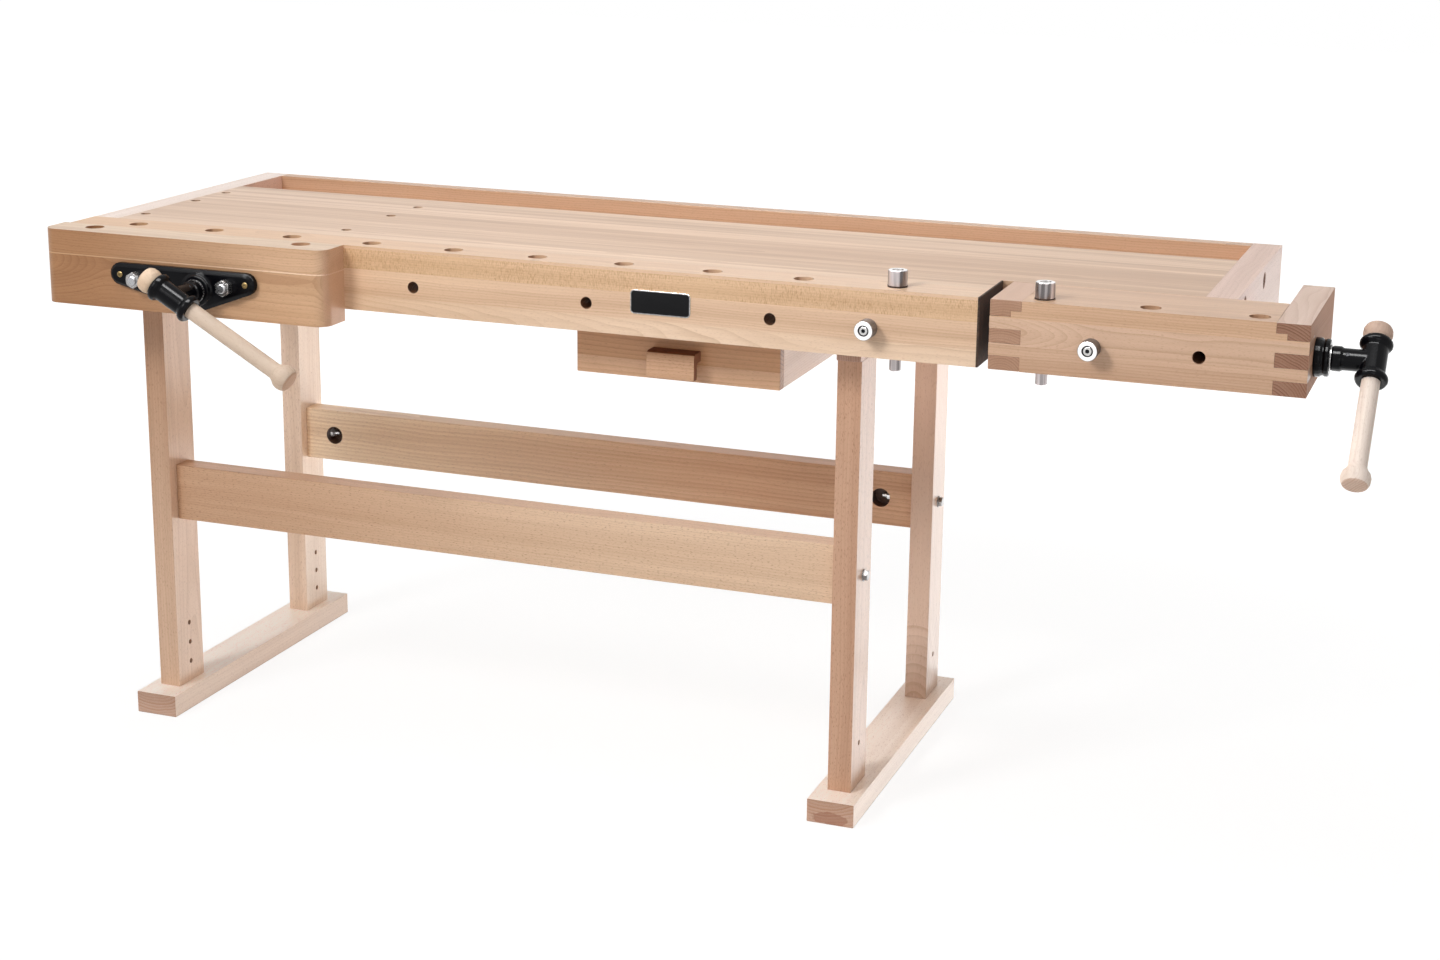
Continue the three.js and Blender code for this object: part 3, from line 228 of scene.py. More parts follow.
def beech(name, grain, across, layers, rough=0.4, fade=None, side=None, shaded_bores=None, dark_patch=None,
          gloss=0.5):
    """Beech with its grain along one vector and its boards glued across another.

    Each layer is (upper limit across in metres, changes to PLAIN); the last limit isn't used.
    A fade is (start, end, tint) of painted light and shade along the grain: the wood has the tint at the start and
    loses it towards the end.
    A side is painted light and shade: the tint of the faces that look across the boards. Bores run along Y and get
    painted shade on their walls: they are (radius, tint, (low y, high y), [(x, z), ...]) in bench millimetres. A
    ragged darker patch on the sawn ends is given as ((x, z), (half width, half height), tint) in the same measures."""
    made, t, shader = material(name)
    coords = t.node("ShaderNodeTexCoord").outputs
    depth = grain.cross(across)
    axes = [t.vector("DOT_PRODUCT", coords["Object"], tuple(axis)) for axis in (grain, across, depth)]
    place = t.xyz(*axes)
    facing = t.math("ABSOLUTE", t.vector("DOT_PRODUCT", coords["Normal"], tuple(grain)))
    end = t.ramp(facing, 0.6, 0.85)
    colour = height = None
    limit = None
    for upper, changes in layers:
        values = {**PLAIN, **changes, "Place": place, "End": end}
        piece = t.node("ShaderNodeGroup", node_tree=FIGURE)
        for key, value in values.items():
            t.put(piece.inputs[key], value)
        if colour is None:
            colour, height = piece.outputs["Colour"], piece.outputs["Height"]
        else:
            above = t.ramp(axes[1], limit - 0.0002, limit + 0.0002)
            colour = t.mix(above, colour, piece.outputs["Colour"])
            height = t.math("ADD", t.math("MULTIPLY", height, t.math("SUBTRACT", 1.0, above)),
                            t.math("MULTIPLY", piece.outputs["Height"], above))
        limit = upper
    plain = colour
    # Painted light and shade: the fade tints the wood towards one end, darker where less light should fall and lighter
    # where more should fall
    if fade:
        start, stop, tint = fade
        colour = t.mix(t.ramp(axes[0], stop, start), colour, tint, "MULTIPLY")
    # Painted light and shade: faces that look across the boards take the side tint
    if side:
        painted_face_mask = t.math("ABSOLUTE", t.vector("DOT_PRODUCT", coords["Normal"], tuple(across)))
        colour = t.mix(t.ramp(painted_face_mask, 0.6, 0.85), colour, t.mix(1.0, plain, side, "MULTIPLY"))
    # Painted shade: the walls of each bore are darkened
    if shaded_bores:
        radius, tint, (low, high), spots = shaded_bores
        y = t.vector("DOT_PRODUCT", coords["Object"], tuple(Y))
        deep = t.math("MULTIPLY", t.math("GREATER_THAN", y, at(0, low, 0).y),
                      t.math("LESS_THAN", y, at(0, high, 0).y))
        flat = t.vector("MULTIPLY", coords["Object"], (1, 0, 1))
        for x, z in spots:
            away = t.vector("DISTANCE", flat, tuple(at(x, ORIGIN.y, z)))
            in_bore_shade = t.math("MULTIPLY", deep, t.ramp(away, (radius + 0.5) / 1000, (radius + 0.1) / 1000))
            colour = t.mix(in_bore_shade, colour, tint, "MULTIPLY")
    # A ragged darker patch on the sawn ends round a given place
    if dark_patch:
        (x, z), (wide, high), tint = dark_patch
        off = t.vector("SUBTRACT", coords["Object"], tuple(at(x, ORIGIN.y, z)))
        off = t.vector("MULTIPLY", off, (1000 / wide, 0, 1000 / high))
        ragged = t.math("MULTIPLY", t.noise(coords["Object"], 70.0), 0.8)
        ragged = t.math("ADD", t.vector("LENGTH", off), ragged)
        colour = t.mix(t.math("MULTIPLY", end, t.ramp(ragged, 1.45, 1.3)), colour, tint, "MULTIPLY")
    t.put(shader.inputs["Base Color"], colour)
    shader.inputs["Specular IOR Level"].default_value = gloss
    t.put(shader.inputs["Roughness"], t.math("ADD", rough - 0.05, t.math("MULTIPLY", height, 0.1)))
    bump = t.node("ShaderNodeBump", {"Height": height, "Strength": 0.12, "Distance": 0.0006})
    t.put(shader.inputs["Normal"], bump.outputs[0])
    return made


def metal(name, colour, rough, wear=0.06, metallic=1.0, grain=None, face=None, bump=0.0, scale=400.0,
          gloss=0.5):
    """Metal whose roughness and tone vary, with marks drawn out along the axis that grain makes small.

    A face (axis, colour) is a painted reflection: the surface has that colour where it looks along the axis."""
    made, t, shader = material(name)
    coords = t.node("ShaderNodeTexCoord").outputs
    place = t.vector("MULTIPLY", coords["Object"], grain) if grain else coords["Object"]
    cloud = t.noise(place, scale, 3.0, 0.6)
    dark = tuple(c * (1 - wear * 2.2) for c in colour[:3]) + (1.0,)
    base = t.mix(t.ramp(cloud, 0.3, 0.7), dark, colour)
    # Painted reflection: faces that look along the axis take the face colour
    if face:
        axis, bright = face
        painted_face_mask = t.math("ABSOLUTE", t.vector("DOT_PRODUCT", coords["Normal"], tuple(axis)))
        base = t.mix(t.ramp(painted_face_mask, 0.7, 0.95), base, bright)
    t.put(shader.inputs["Base Color"], base)
    shader.inputs["Metallic"].default_value = metallic
    shader.inputs["Specular IOR Level"].default_value = gloss
    t.put(shader.inputs["Roughness"], t.math("ADD", rough - wear, t.math("MULTIPLY", cloud, 2 * wear)))
    if bump:
        lift = t.node("ShaderNodeBump", {"Height": cloud, "Strength": bump, "Distance": 0.0006})
        t.put(shader.inputs["Normal"], lift.outputs[0])
    return made


# Beech for each part of the bench

def layer(mean, limit=0.0, **changes):
    """One glued layer: its mean colour, its upper limit and its changes to PLAIN."""
    return (limit, {**tone(*mean), **changes})


FRONT_HOLES = [(657, 839), (964, 839), (1272, 839), (1430, 839)]
TAIL_HOLES = [(1771.75, 839), (1929.25, 839)]
POCKETS = [(179.5, 404), (1294, 404)]

WOOD = {
    "slab": beech("beech_slab", X, Y, [
        layer((230, 199, 171), Board=0.0496, Centre=-0.1514, Depth=0.86, Stray=1.0, Seed=41.0, Ring=0.5,
              Contrast=1.3, Spread=1.0, Streak=1.0, Fleck=0.2),
    # Painted shade: the top darker towards its left end
    ], fade=(-1.0, 0.0, (0.96, 0.97, 1.0, 1.0))),
    "apron": beech("beech_apron", X, Z, [
        layer((231, 201, 173), 0.820, Seed=5.0, Centre=0.79, Depth=0.206, Start=-0.3, Slope=0.06, Ring=0.55,
              Contrast=1.25, Streak=0.4, Fleck=0.2),
        layer((225, 191, 161), 0.862, Seed=6.0, Centre=0.70, Depth=0.2, Ring=0.5, Contrast=1.3, Streak=0.4,
              Fleck=0.2),
        layer((220, 183, 145), 0.895, Seed=7.0, Centre=1.0, Depth=0.2, Stroke=0.5, Contrast=1.1),
        layer((226, 191, 160), Seed=8.0, Centre=1.0, Depth=0.2),
    # Painted shade: the apron darker and warmer towards its left end, and inside its dog holes
    ], fade=(-0.95, 0.0, (0.94, 0.88, 0.78, 1.0)), shaded_bores=(9.5, BORE_SHADE_TINT, (-1, 71), FRONT_HOLES)),
    "front_jaw": beech("beech_chop", X, Z, [
        layer((208, 167, 130), 0.858, Seed=11.0, Centre=0.845, Depth=0.309, Start=-1.11, Slope=0.32, Reach=0.04,
              Rings=210.0, Ring=0.7, Streak=0.4, Sawn=srgb(214, 166, 134)),
        layer((236, 206, 176), 0.860, Seed=13.0, Sawn=srgb(214, 166, 134)),
        layer((212, 172, 137), Seed=12.0, Centre=0.75, Depth=0.25, Ring=0.6, Streak=0.6, Sawn=srgb(214, 166, 134)),
    # Painted shade: the jaw darker towards its left end; painted light on its top and bottom faces
    ], fade=(-1.05, -0.6, (0.62, 0.485, 0.35, 1.0)), side=(1.02, 1.18, 1.35, 1.0)),
    "tail_dog_board": beech("beech_dog_board", X, Z, [
        layer((210, 174, 146), 0.832, Seed=17.0, Centre=0.72, Depth=0.2, Ring=0.7, Contrast=1.2, Streak=0.5),
        layer((212, 177, 150), 0.873, Seed=15.0, Centre=0.855, Depth=0.247, Start=0.53, Slope=0.2, Reach=0.03,
              Rings=230.0, Ring=0.8),
        layer((217, 179, 147), Seed=16.0, Centre=0.80, Depth=0.2, Ring=0.7, Contrast=1.2, Streak=0.5),
    # Painted shade inside the dog holes
    ], shaded_bores=(9.5, BORE_SHADE_TINT, (-4, 56), TAIL_HOLES)),
    "cross": beech("beech_cross", Y, Z, [
        layer((230, 196, 180), Seed=21.0, Centre=0.8, Depth=0.80, Fleck=0.5, Ring=0.3),
    ]),
    "cap_left": beech("beech_cap_left", Y, Z, [
        layer((230, 196, 180), Seed=26.0, Centre=0.8, Depth=0.80, Fleck=0.5, Ring=0.3),
    # Painted light on the cap's top and bottom faces
    ], side=(1.06, 1.25, 1.33, 1.0)),
    "cap_right": beech("beech_cap_right", Y, Z, [
        layer((230, 196, 180), Seed=27.0, Centre=0.8, Depth=0.80, Fleck=0.5, Ring=0.3),
    # Painted shade on the cap's top and bottom faces
    ], side=(0.88, 0.87, 0.85, 1.0)),
    "tail_cross": beech("beech_tail_cross", Y, Z, [
        layer((206, 166, 139), Seed=22.0, Centre=0.78, Depth=0.55),
    ]),
    "tail_end": beech("beech_tail_end", Y, Z, [
        layer((184, 141, 117), Seed=23.0, Centre=0.76, Depth=0.93, Saw=0.36, Sawn=srgb(84, 40, 16)),
    # Painted light on the board's top and bottom faces
    ], 0.7, side=(1.5, 2.05, 2.55, 1.0), gloss=0.2),
    "rail": beech("beech_rail", X, Z, [
        layer((206, 168, 138), Seed=25.0, Centre=0.80, Depth=-0.34, Ring=0.6, Streak=0.6),
    ]),
    "leg_front_left": beech("beech_leg_front_left", Z, X, [
        layer((214, 178, 150), Seed=31.0, Centre=-1.06, Depth=-0.10, Fleck=0.45),
    # Painted shade: the upper leg darker under the jaw; painted light on its side faces
    ], 0.34, fade=(0.75, 0.2, (0.69, 0.59, 0.51, 1.0)), side=(1.18, 1.28, 1.38, 1.0)),
    "leg_front_right": beech("beech_leg_front_right", Z, X, [
        layer((194, 152, 124), Seed=32.0, Centre=0.22, Depth=-0.10, Fleck=0.7),
    # Painted light on the leg's side faces
    ], 0.34, side=(1.13, 1.24, 1.33, 1.0)),
    "leg_rear_left": beech("beech_leg_rear_left", Z, X, [
        layer((225, 196, 172), Seed=33.0, Centre=-1.06, Depth=0.40, Fleck=0.4),
    # Painted light: the upper leg lighter, and its side faces lighter
    ], 0.34, fade=(0.75, 0.25, (1.25, 1.36, 1.46, 1.0)), side=(1.12, 1.2, 1.26, 1.0)),
    "leg_rear_right": beech("beech_leg_rear_right", Z, X, [
        layer((205, 175, 154), Seed=34.0, Centre=0.286, Depth=0.2925, Start=0.0, Slope=0.53, Reach=0.098,
              Rings=105.0, Ring=1.0),
    # Painted light: the upper leg lighter
    ], 0.34, fade=(0.66, 0.4, (1.4, 1.43, 1.47, 1.0))),
    "foot": beech("beech_foot", Y, X, [
        layer((252, 238, 225), Seed=41.0, Board=1.2785, Centre=-1.0, Depth=-0.13, Rings=180.0, Ring=0.2,
              Saw=0.8, Sawn=srgb(166, 113, 76)),
    # Painted shade on the foot's side faces; a ragged darker patch low on its sawn end
    ], 0.36, side=(0.82, 0.71, 0.62, 1.0), dark_patch=((1376, 10), (30, 11), (0.68, 0.51, 0.4, 1.0))),
    "stretcher": beech("beech_stretcher", X, Z, [
        layer((219, 187, 157), Seed=51.0, Centre=0.28, Depth=0.09, Start=-0.9, Slope=0.02, Fleck=0.65,
              Contrast=0.9),
    # Painted shade: the stretcher darker towards its left end, and inside its access holes
    ], fade=(-0.95, 0.0, (0.78, 0.66, 0.58, 1.0)), shaded_bores=(17.0, POCKET_SHADE_TINT, (118, 147), POCKETS)),
    "stretcher_rear": beech("beech_stretcher_rear", X, Z, [
        layer((250, 225, 194), Seed=52.0, Centre=0.3, Depth=-0.33, Rings=130.0, Ring=1.4, Contrast=1.2, Streak=0.5),
    # Painted shade: the stretcher darker towards its right end, and inside its access holes
    ], fade=(0.0, -0.95, (0.62, 0.475, 0.395, 1.0)), shaded_bores=(17.0, POCKET_SHADE_TINT, (557, 586), POCKETS)),
    "drawer": beech("beech_drawer", X, Z, [
        layer((210, 168, 134), 0.730, Seed=61.0, Centre=0.66, Depth=0.1, Rings=150.0, Ring=0.6),
        layer((202, 154, 115), Seed=62.0, Centre=0.82, Depth=0.1, Rings=150.0, Ring=0.8),
    ]),
    "pull": beech("beech_pull", X, Z, [
        layer((206, 166, 135), Seed=65.0, Centre=0.66, Depth=0.1, Ring=0.7, Fleck=0.6, Streak=0.4, Saw=0.9,
              Sawn=srgb(137, 91, 67)),
    # Painted shadow of the apron on the pull's top and bottom faces
    ], 0.6, side=(0.29, 0.16, 0.12, 1.0), gloss=0.2),
    "drawer_side": beech("beech_drawer_side", Y, Z, [
        layer((232, 211, 195), Seed=63.0, Centre=0.66, Depth=0.14),
    ], 0.34),
    "panel": beech("beech_panel", X, Y, [
        layer((209, 166, 126), Seed=71.0, Centre=0.29, Depth=0.85, Contrast=0.8),
    ]),
    "block": beech("beech_block", X, Z, [layer((220, 184, 152), Seed=72.0, Centre=0.78, Depth=0.1)]),
}

DIP = math.radians(29.6)
LEAN = math.radians(48.0)
FRONT_BAR = Vector((-math.cos(DIP), 0, math.sin(DIP)))
TAIL_BAR = Vector((0, math.sin(LEAN), math.cos(LEAN)))
BARS = {
    "front": dict(grain=FRONT_BAR, across=Y, centre=-0.36, depth=-0.30, seed=81.0,
                  bar=(211, 189, 169), knob=(230, 202, 174)),
    "tail": dict(grain=TAIL_BAR, across=X, centre=1.11, depth=-0.71, seed=82.0,
                 bar=(244, 226, 212), knob=(206, 176, 157)),
}
for key, bar in BARS.items():
    for part in ("bar", "knob"):
        WOOD[f"{key}_{part}"] = beech(f"beech_{key}_{part}", bar["grain"], bar["across"], [
            layer(bar[part], Centre=bar["centre"], Depth=bar["depth"], Seed=bar["seed"], Fleck=0.2, Ring=0.3,
                  Contrast=0.8, Sawn=srgb(196, 150, 120)),
        ], 0.7, gloss=0.12)

IRON = metal("black_casting", srgb(5, 5, 9), 0.24, wear=0.06, metallic=0.0, bump=0.03, scale=900.0,
             gloss=0.11)
STEEL = metal("bright_steel", srgb(178, 178, 180), 0.28)
ZINC = metal("zinc_plate", srgb(186, 184, 183), 0.26, wear=0.2, scale=500.0)
BOLT = metal("bolt_zinc", srgb(150, 148, 147), 0.36, wear=0.25, scale=350.0)
BRIGHT = metal("bright_zinc", srgb(240, 240, 240), 0.4, wear=0.08, scale=700.0)
# Painted reflection: the lighter colour that the dogs' end faces get
END_FACE_REFLECTION = srgb(240, 237, 236)
BRUSHED = srgb(206, 197, 197)
DOG_UP = metal("turned_dog_up", BRUSHED, 0.32, wear=0.36, grain=(1, 1, 0.02), face=(Z, END_FACE_REFLECTION), scale=95.0)
DOG_OUT = metal("turned_dog_out", srgb(132, 127, 126), 0.4, wear=0.3, grain=(1, 0.02, 1), face=(Y, END_FACE_REFLECTION), scale=95.0)
DOG_SCREW = metal("dog_screw", srgb(214, 212, 210), 0.3, wear=0.1, scale=700.0)
BRASS = metal("dull_brass", srgb(132, 112, 76), 0.4, wear=0.1, scale=900.0)
LINING = metal("dark_lining", srgb(82, 61, 49), 0.8, wear=0.3, metallic=0.0, bump=0.4, scale=220.0,
               gloss=0.25)
PLATE_BLACK = metal("plate_black", srgb(16, 16, 18), 0.4, wear=0.05, metallic=0.0, scale=300.0, gloss=0.12)
OXIDE = metal("black_oxide", srgb(40, 40, 42), 0.4, wear=0.08, scale=900.0)

LOOKS = {
    "slab": "slab", "apron": "apron", "front_jaw": "front_jaw", "tail_dog_board": "tail_dog_board",
    "end_cap_left": "cap_left", "end_cap_right": "cap_right", "back_rail": "rail", "tray_floor": "panel",
    "tail_stop_block": "tail_cross", "tail_cheek": "tail_cross", "tail_end_board": "tail_end",
    "tail_cap": "tail_dog_board", "tail_runner": "block", "tail_runner_guide": "block",
    "foot_left": "foot", "foot_right": "foot", "bearer_left": "cross", "bearer_right": "cross",
    "stretcher_front": "stretcher", "stretcher_rear": "stretcher_rear",
    "leg_front_left": "leg_front_left", "leg_front_right": "leg_front_right",
    "leg_rear_left": "leg_rear_left", "leg_rear_right": "leg_rear_right",
    "drawer_front": "drawer", "drawer_pull": "pull", "drawer_side_left": "drawer_side",
    "drawer_side_right": "drawer_side", "drawer_back": "drawer", "drawer_bottom": "panel",
    "drawer_runner_left": "drawer_side", "drawer_runner_right": "drawer_side",
    "front_handle": "front_bar", "front_handle_knob": "front_knob",
    "tail_handle": "tail_bar", "tail_handle_knob": "tail_knob",
}
METALS = {
    "front_plate": IRON, "front_nut": IRON, "front_hub": IRON, "tail_hub": IRON, "tail_flange": IRON,
    "tail_nut": IRON, "front_tie_bar": IRON, "front_screw": STEEL, "tail_screw": STEEL,
    "front_washer": ZINC, "tail_washer": ZINC, "tail_key": STEEL, "front_rod_left": STEEL,
    "front_rod_right": STEEL, "front_rod_nut_left": ZINC, "front_rod_nut_right": ZINC,
    "dog_top": DOG_UP, "dog_front": DOG_OUT, "tail_dog_top": DOG_UP, "tail_dog_front": DOG_OUT,
    "tail_lining": LINING,
}


def paint(obj, look):
    obj.data.materials.clear()
    obj.data.materials.append(look)


def smoothing_group():
    """Shades a mesh smooth except along edges sharper than an angle."""
    group = bpy.data.node_groups.new("smooth_by_angle", "GeometryNodeTree")
    group.interface.new_socket("Geometry", in_out="INPUT", socket_type="NodeSocketGeometry")
    group.interface.new_socket("Geometry", in_out="OUTPUT", socket_type="NodeSocketGeometry")
    t = Tree(group)
    mesh = t.node("NodeGroupInput").outputs[0]
    angle = t.node("GeometryNodeInputMeshEdgeAngle").outputs["Unsigned Angle"]
    low = t.node("FunctionNodeCompare", {"A": angle, "B": math.radians(36.0)}, operation="LESS_THAN")
    faces = t.node("GeometryNodeSetShadeSmooth", {"Geometry": mesh, "Shade Smooth": True}, domain="FACE")
    edges = t.node("GeometryNodeSetShadeSmooth", {"Geometry": faces.outputs[0], "Shade Smooth": low.outputs[0]},
                   domain="EDGE")
    t.node("NodeGroupOutput", {0: edges.outputs[0]})
    return group


SMOOTHING = smoothing_group()


def shade(obj, weighted=True):
    obj.modifiers.new("shade", "NODES").node_group = SMOOTHING
    if weighted:
        even = obj.modifiers.new("even", "WEIGHTED_NORMAL")
        even.weight = 80
        even.keep_sharp = True


def soften(obj, width, segments=2):
    """Joins the frame's split corners, merges flat faces and rounds the sharp edges."""
    weld = obj.modifiers.new("weld", "WELD")
    weld.merge_threshold = 1e-6
    flat = obj.modifiers.new("flat", "DECIMATE")
    flat.decimate_type = "DISSOLVE"
    flat.angle_limit = math.radians(1.0)
    bevel = obj.modifiers.new("edge", "BEVEL")
    bevel.width = width
    bevel.segments = segments
    bevel.limit_method = "ANGLE"
    bevel.angle_limit = math.radians(38.0)
    shade(obj)


def cast(obj, grid, rounds):
    """Gives a casting its soft edges and fillets."""
    weld = obj.modifiers.new("weld", "WELD")
    weld.merge_threshold = 1e-6
    voxels = obj.modifiers.new("skin", "REMESH")
    voxels.mode = "VOXEL"
    voxels.voxel_size = grid
    soft = obj.modifiers.new("soft", "SMOOTH")
    soft.factor = 0.5
    soft.iterations = rounds
    shade(obj, weighted=False)


CASTINGS = ("front_plate", "front_hub", "tail_hub", "tail_flange")
for name, obj in NODES.items():
    wooden = name in LOOKS
    paint(obj, WOOD[LOOKS[name]] if wooden else METALS[name])
    if name in CASTINGS:
        cast(obj, 0.0009, 6)
    else:
        soften(obj, 0.0014 if wooden else 0.0005)


# Small fittings, in bench millimetres

def turned(bm, profile, centre, axis, steps=40):
    """Revolves (radius, along) points about an axis; a radius or an along may be a function of the angle."""
    side = axis.orthogonal().normalized()
    other = axis.cross(side)
    rings = []
    for radius, along in profile:
        count = 1 if radius == 0 else steps
        ring = []
        for index in range(count):
            angle = 2 * math.pi * index / steps
            reach = radius(angle) if callable(radius) else radius
            height = along(angle) if callable(along) else along
            spoke = math.cos(angle) * side + math.sin(angle) * other
            ring.append(bm.verts.new(at(*(Vector(centre) + axis * height + spoke * reach))))
        rings.append(ring)
    for low, high in zip(rings, rings[1:]):
        for index in range(steps):
            after = index + 1
            corners = (low[index % len(low)], low[after % len(low)],
                       high[after % len(high)], high[index % len(high)])
            bm.faces.new(list(dict.fromkeys(corners)))


def hexagon(across):
    """Radius of a hexagon of that width across flats, at an angle."""
    return lambda angle: across / 2 / math.cos(angle % (math.pi / 3) - math.pi / 6)


def piece(name, bm, look, body, slot, width=0.0):
    bmesh.ops.recalc_face_normals(bm, faces=bm.faces)
    mesh = bpy.data.meshes.new(name)
    bm.to_mesh(mesh)
    bm.free()
    obj = bpy.data.objects.new(name, mesh)
    bpy.context.scene.collection.objects.link(obj)
    mesh.materials.append(look)
    if width:
        bevel = obj.modifiers.new("edge", "BEVEL")
        bevel.width = width
        bevel.segments = 2
        bevel.limit_method = "ANGLE"
        bevel.angle_limit = math.radians(40.0)
    shade(obj, weighted=False)
    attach(obj, body)
    return obj


def turned_piece(name, profile, centre, axis, look, body, slot, steps=40):
    bm = bmesh.new()
    turned(bm, profile, centre, axis, steps)
    return piece(name, bm, look, body, slot)


def bolt(name, centre, axis, across, height, washer, body):
    """Hexagon bolt head on a washer."""
    bm = bmesh.new()
    turned(bm, [(0, 0), (washer, 0), (washer, 1.2), (washer - 0.5, 1.6), (0, 1.6)], centre, axis)
    flats = hexagon(across)
    round_top = across * 0.47
    turned(bm, [(0, 1.6), (flats, 1.6), (flats, height), (round_top, height + 1.2), (0, height + 1.4)],
           centre, axis, 36)
    return piece(name, bm, BOLT, body, "steel")


def socket_screw(name, centre, axis, radius, height, across, look, body, slot):
    """Cap screw with a hexagon socket."""
    flats = hexagon(across)
    profile = [(0, 0), (radius, 0), (radius, height - 0.6), (radius - 0.6, height), (flats, height),
               (flats, height - 2.2), (0, height - 2.3)]
    return turned_piece(name, profile, centre, axis, look, body, slot, 48)


def cross_screw(name, centre, axis, radius, look, body, slot):
    """Raised screw head with a cross recess."""
    def dome(reach):
        def along(angle):
            near = min(abs(reach * math.cos(angle)), abs(reach * math.sin(angle)))
            sunk = 0.9 if near < 0.5 and reach < radius * 0.62 else 0.0
            return 1.7 * math.sqrt(max(0.0, 1 - (reach / radius) ** 2)) + 0.3 - sunk
        return along
    reaches = [radius * k for k in (0.97, 0.9, 0.8, 0.65, 0.6, 0.45, 0.3, 0.15)]
    profile = [(radius, 0), (radius, 0.3), *((reach, dome(reach)) for reach in reaches), (0, 0.9)]
    return turned_piece(name, profile, centre, axis, look, body, slot, 48)


# Vise screws with their trapezium threads
LEAD = 6.0
SPIGOT, SHOULDER, CREST, ROOT = 10.0, 16.0, 12.0, 9.8
SPIGOT_START, SHOULDER_START, THREAD_START = 36.0, 83.3, 93.0


def thread(along, end):
    fade = min(1.0, (along - THREAD_START - 2) / LEAD, (end - 3 - along) / LEAD)

    def radius(angle):
        phase = (along / LEAD - angle / (2 * math.pi)) % 1.0
        flank = min(1.0, max(0.0, (abs(phase - 0.5) - 0.14) / 0.12))
        return ROOT + (CREST - ROOT) * flank * max(0.0, fade)
    return radius


def vise_screw(name, centre, axis, end, body, node):
    rows = int((end - 3 - THREAD_START - 2) / LEAD * 8)
    places = [THREAD_START + 2 + (end - 5 - THREAD_START) * k / rows for k in range(rows + 1)]
    profile = [(0, SPIGOT_START), (SPIGOT - 1, SPIGOT_START), (SPIGOT, SPIGOT_START + 1),
               (SPIGOT, SHOULDER_START), (SHOULDER - 0.6, SHOULDER_START), (SHOULDER, SHOULDER_START + 0.6),
               (SHOULDER, THREAD_START - 0.6), (SHOULDER - 0.6, THREAD_START), (ROOT, THREAD_START),
               *((thread(along, end), along) for along in places),
               (ROOT - 2, end), (0, end)]
    made = turned_piece(name, profile, centre, axis, STEEL, body, "steel", 32)
    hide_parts(node)


FRONT_TEE = (299, -148, 820)
TAIL_TEE = (2167, 76, 838)
vise_screw("front_thread", FRONT_TEE, Y, 470.0, "front_vise_screw", "front_screw")
vise_screw("tail_thread", TAIL_TEE, -X, 467.0, "tail_vise_screw", "tail_screw")

# Screws in the front plate and grub screws in the hubs
PLATE_FACE = -79
for side, x in (("left", 150), ("right", 390)):
    cross_screw(f"plate_screw_{side}", (x, PLATE_FACE, 835), -Y, 5.2, BRASS, "front_vise_jaw", "steel")
GRUB = Vector((0, -0.8, 0.6))
socket_screw("tail_grub_screw", Vector(TAIL_TEE) - X * 36 + GRUB * 15.2, GRUB, 3.0, 1.9, 3.0, OXIDE,
             "tail_vise_screw", "steel")
GRUB_FRONT = Vector((0.6, 0, 0.8))
socket_screw("front_grub_screw", Vector(FRONT_TEE) + Y * 36 + GRUB_FRONT * 15.2, GRUB_FRONT, 3.0, 1.9, 3.0,
             OXIDE, "front_vise_screw", "steel")

# Bench dogs: painted shade as a dark disc on the floor of each recess, a cap screw in each recess, and a dark ring
# round the foot of each upright one
DOG_HEAD, DOG_RECESS, DOG_FACE, DOG_BORE = 15.0, 8.5, 23.0, 15.75
RING_GAP, RING_FOOT, RING_CHAMFER, RING_HEIGHT = 0.35, 0.45, 1.5, 2.4
DOGS = {
    "bench_dog": ((1465, 33, 900), Z), "apron_dog": ((1430, 0, 839), -Y),
    "carriage_dog": ((1693, 30.5, 900), Z), "carriage_face_dog": ((1771.75, -2.5, 839), -Y),
}
for body, (centre, axis) in DOGS.items():
    floor_of_recess = Vector(centre) + axis * DOG_FACE
    # Painted shade: a dark disc on the floor of the recess, round the cap screw
    turned_piece(f"{body}_painted_recess_shade", [(0, 0.02), (DOG_RECESS - 0.1, 0.02), (DOG_RECESS - 0.1, 0.4), (0, 0.4)],
                 floor_of_recess, axis, OXIDE, body, "aluminium")
    socket = hexagon(6.0)
    turned_piece(f"{body}_screw", [(socket, 0.42), (6.6, 0.42), (6.6, 1.8), (6.0, 2.4), (socket, 2.4), (socket, 0.42)],
                 floor_of_recess, axis, DOG_SCREW, body, "aluminium", 48)
    if axis != Z:
        continue
    outer = DOG_BORE - RING_GAP
    turned_piece(f"{body}_ring", [(DOG_HEAD + 0.02, RING_FOOT), (outer - 0.3, RING_FOOT), (outer, RING_CHAMFER),
                                  (outer, RING_HEIGHT - 0.4), (outer - 0.3, RING_HEIGHT),
                                  (DOG_HEAD + 0.02, RING_HEIGHT), (DOG_HEAD + 0.02, RING_FOOT)],
                 centre, axis, LINING, body, "lining")

# Bolts through the legs, with their nuts in the stretchers' access holes, and bolts in the end caps
LEG_MIDDLES = {"front": 125.5, "rear": 578.5}
FRAMES = {"left": (77.5, -X, 162.5), "right": (1396.0, X, 1311.0)}
for row, y in LEG_MIDDLES.items():
    for side, (face, outward, wall) in FRAMES.items():
        bolt(f"leg_bolt_{row}_{side}", (face, y, 403), outward, 16.0, 7.0, 10.3, "bench")
        bm = bmesh.new()
        flats = hexagon(13.0)
        spot = Vector((wall, y, 404))
        turned(bm, [(0, 1), (9, 1), (9, 3), (0, 3)], spot, -outward)
        turned(bm, [(0, 3), (flats, 3), (flats, 9), (5.8, 9.8), (0, 9.8)], spot, -outward, 36)
        turned(bm, [(0, 9), (4, 9), (4, 18), (3.2, 18.8), (0, 18.8)], spot, -outward, 24)
        piece(f"draw_nut_{row}_{side}", bm, BRIGHT, "bench", "steel")
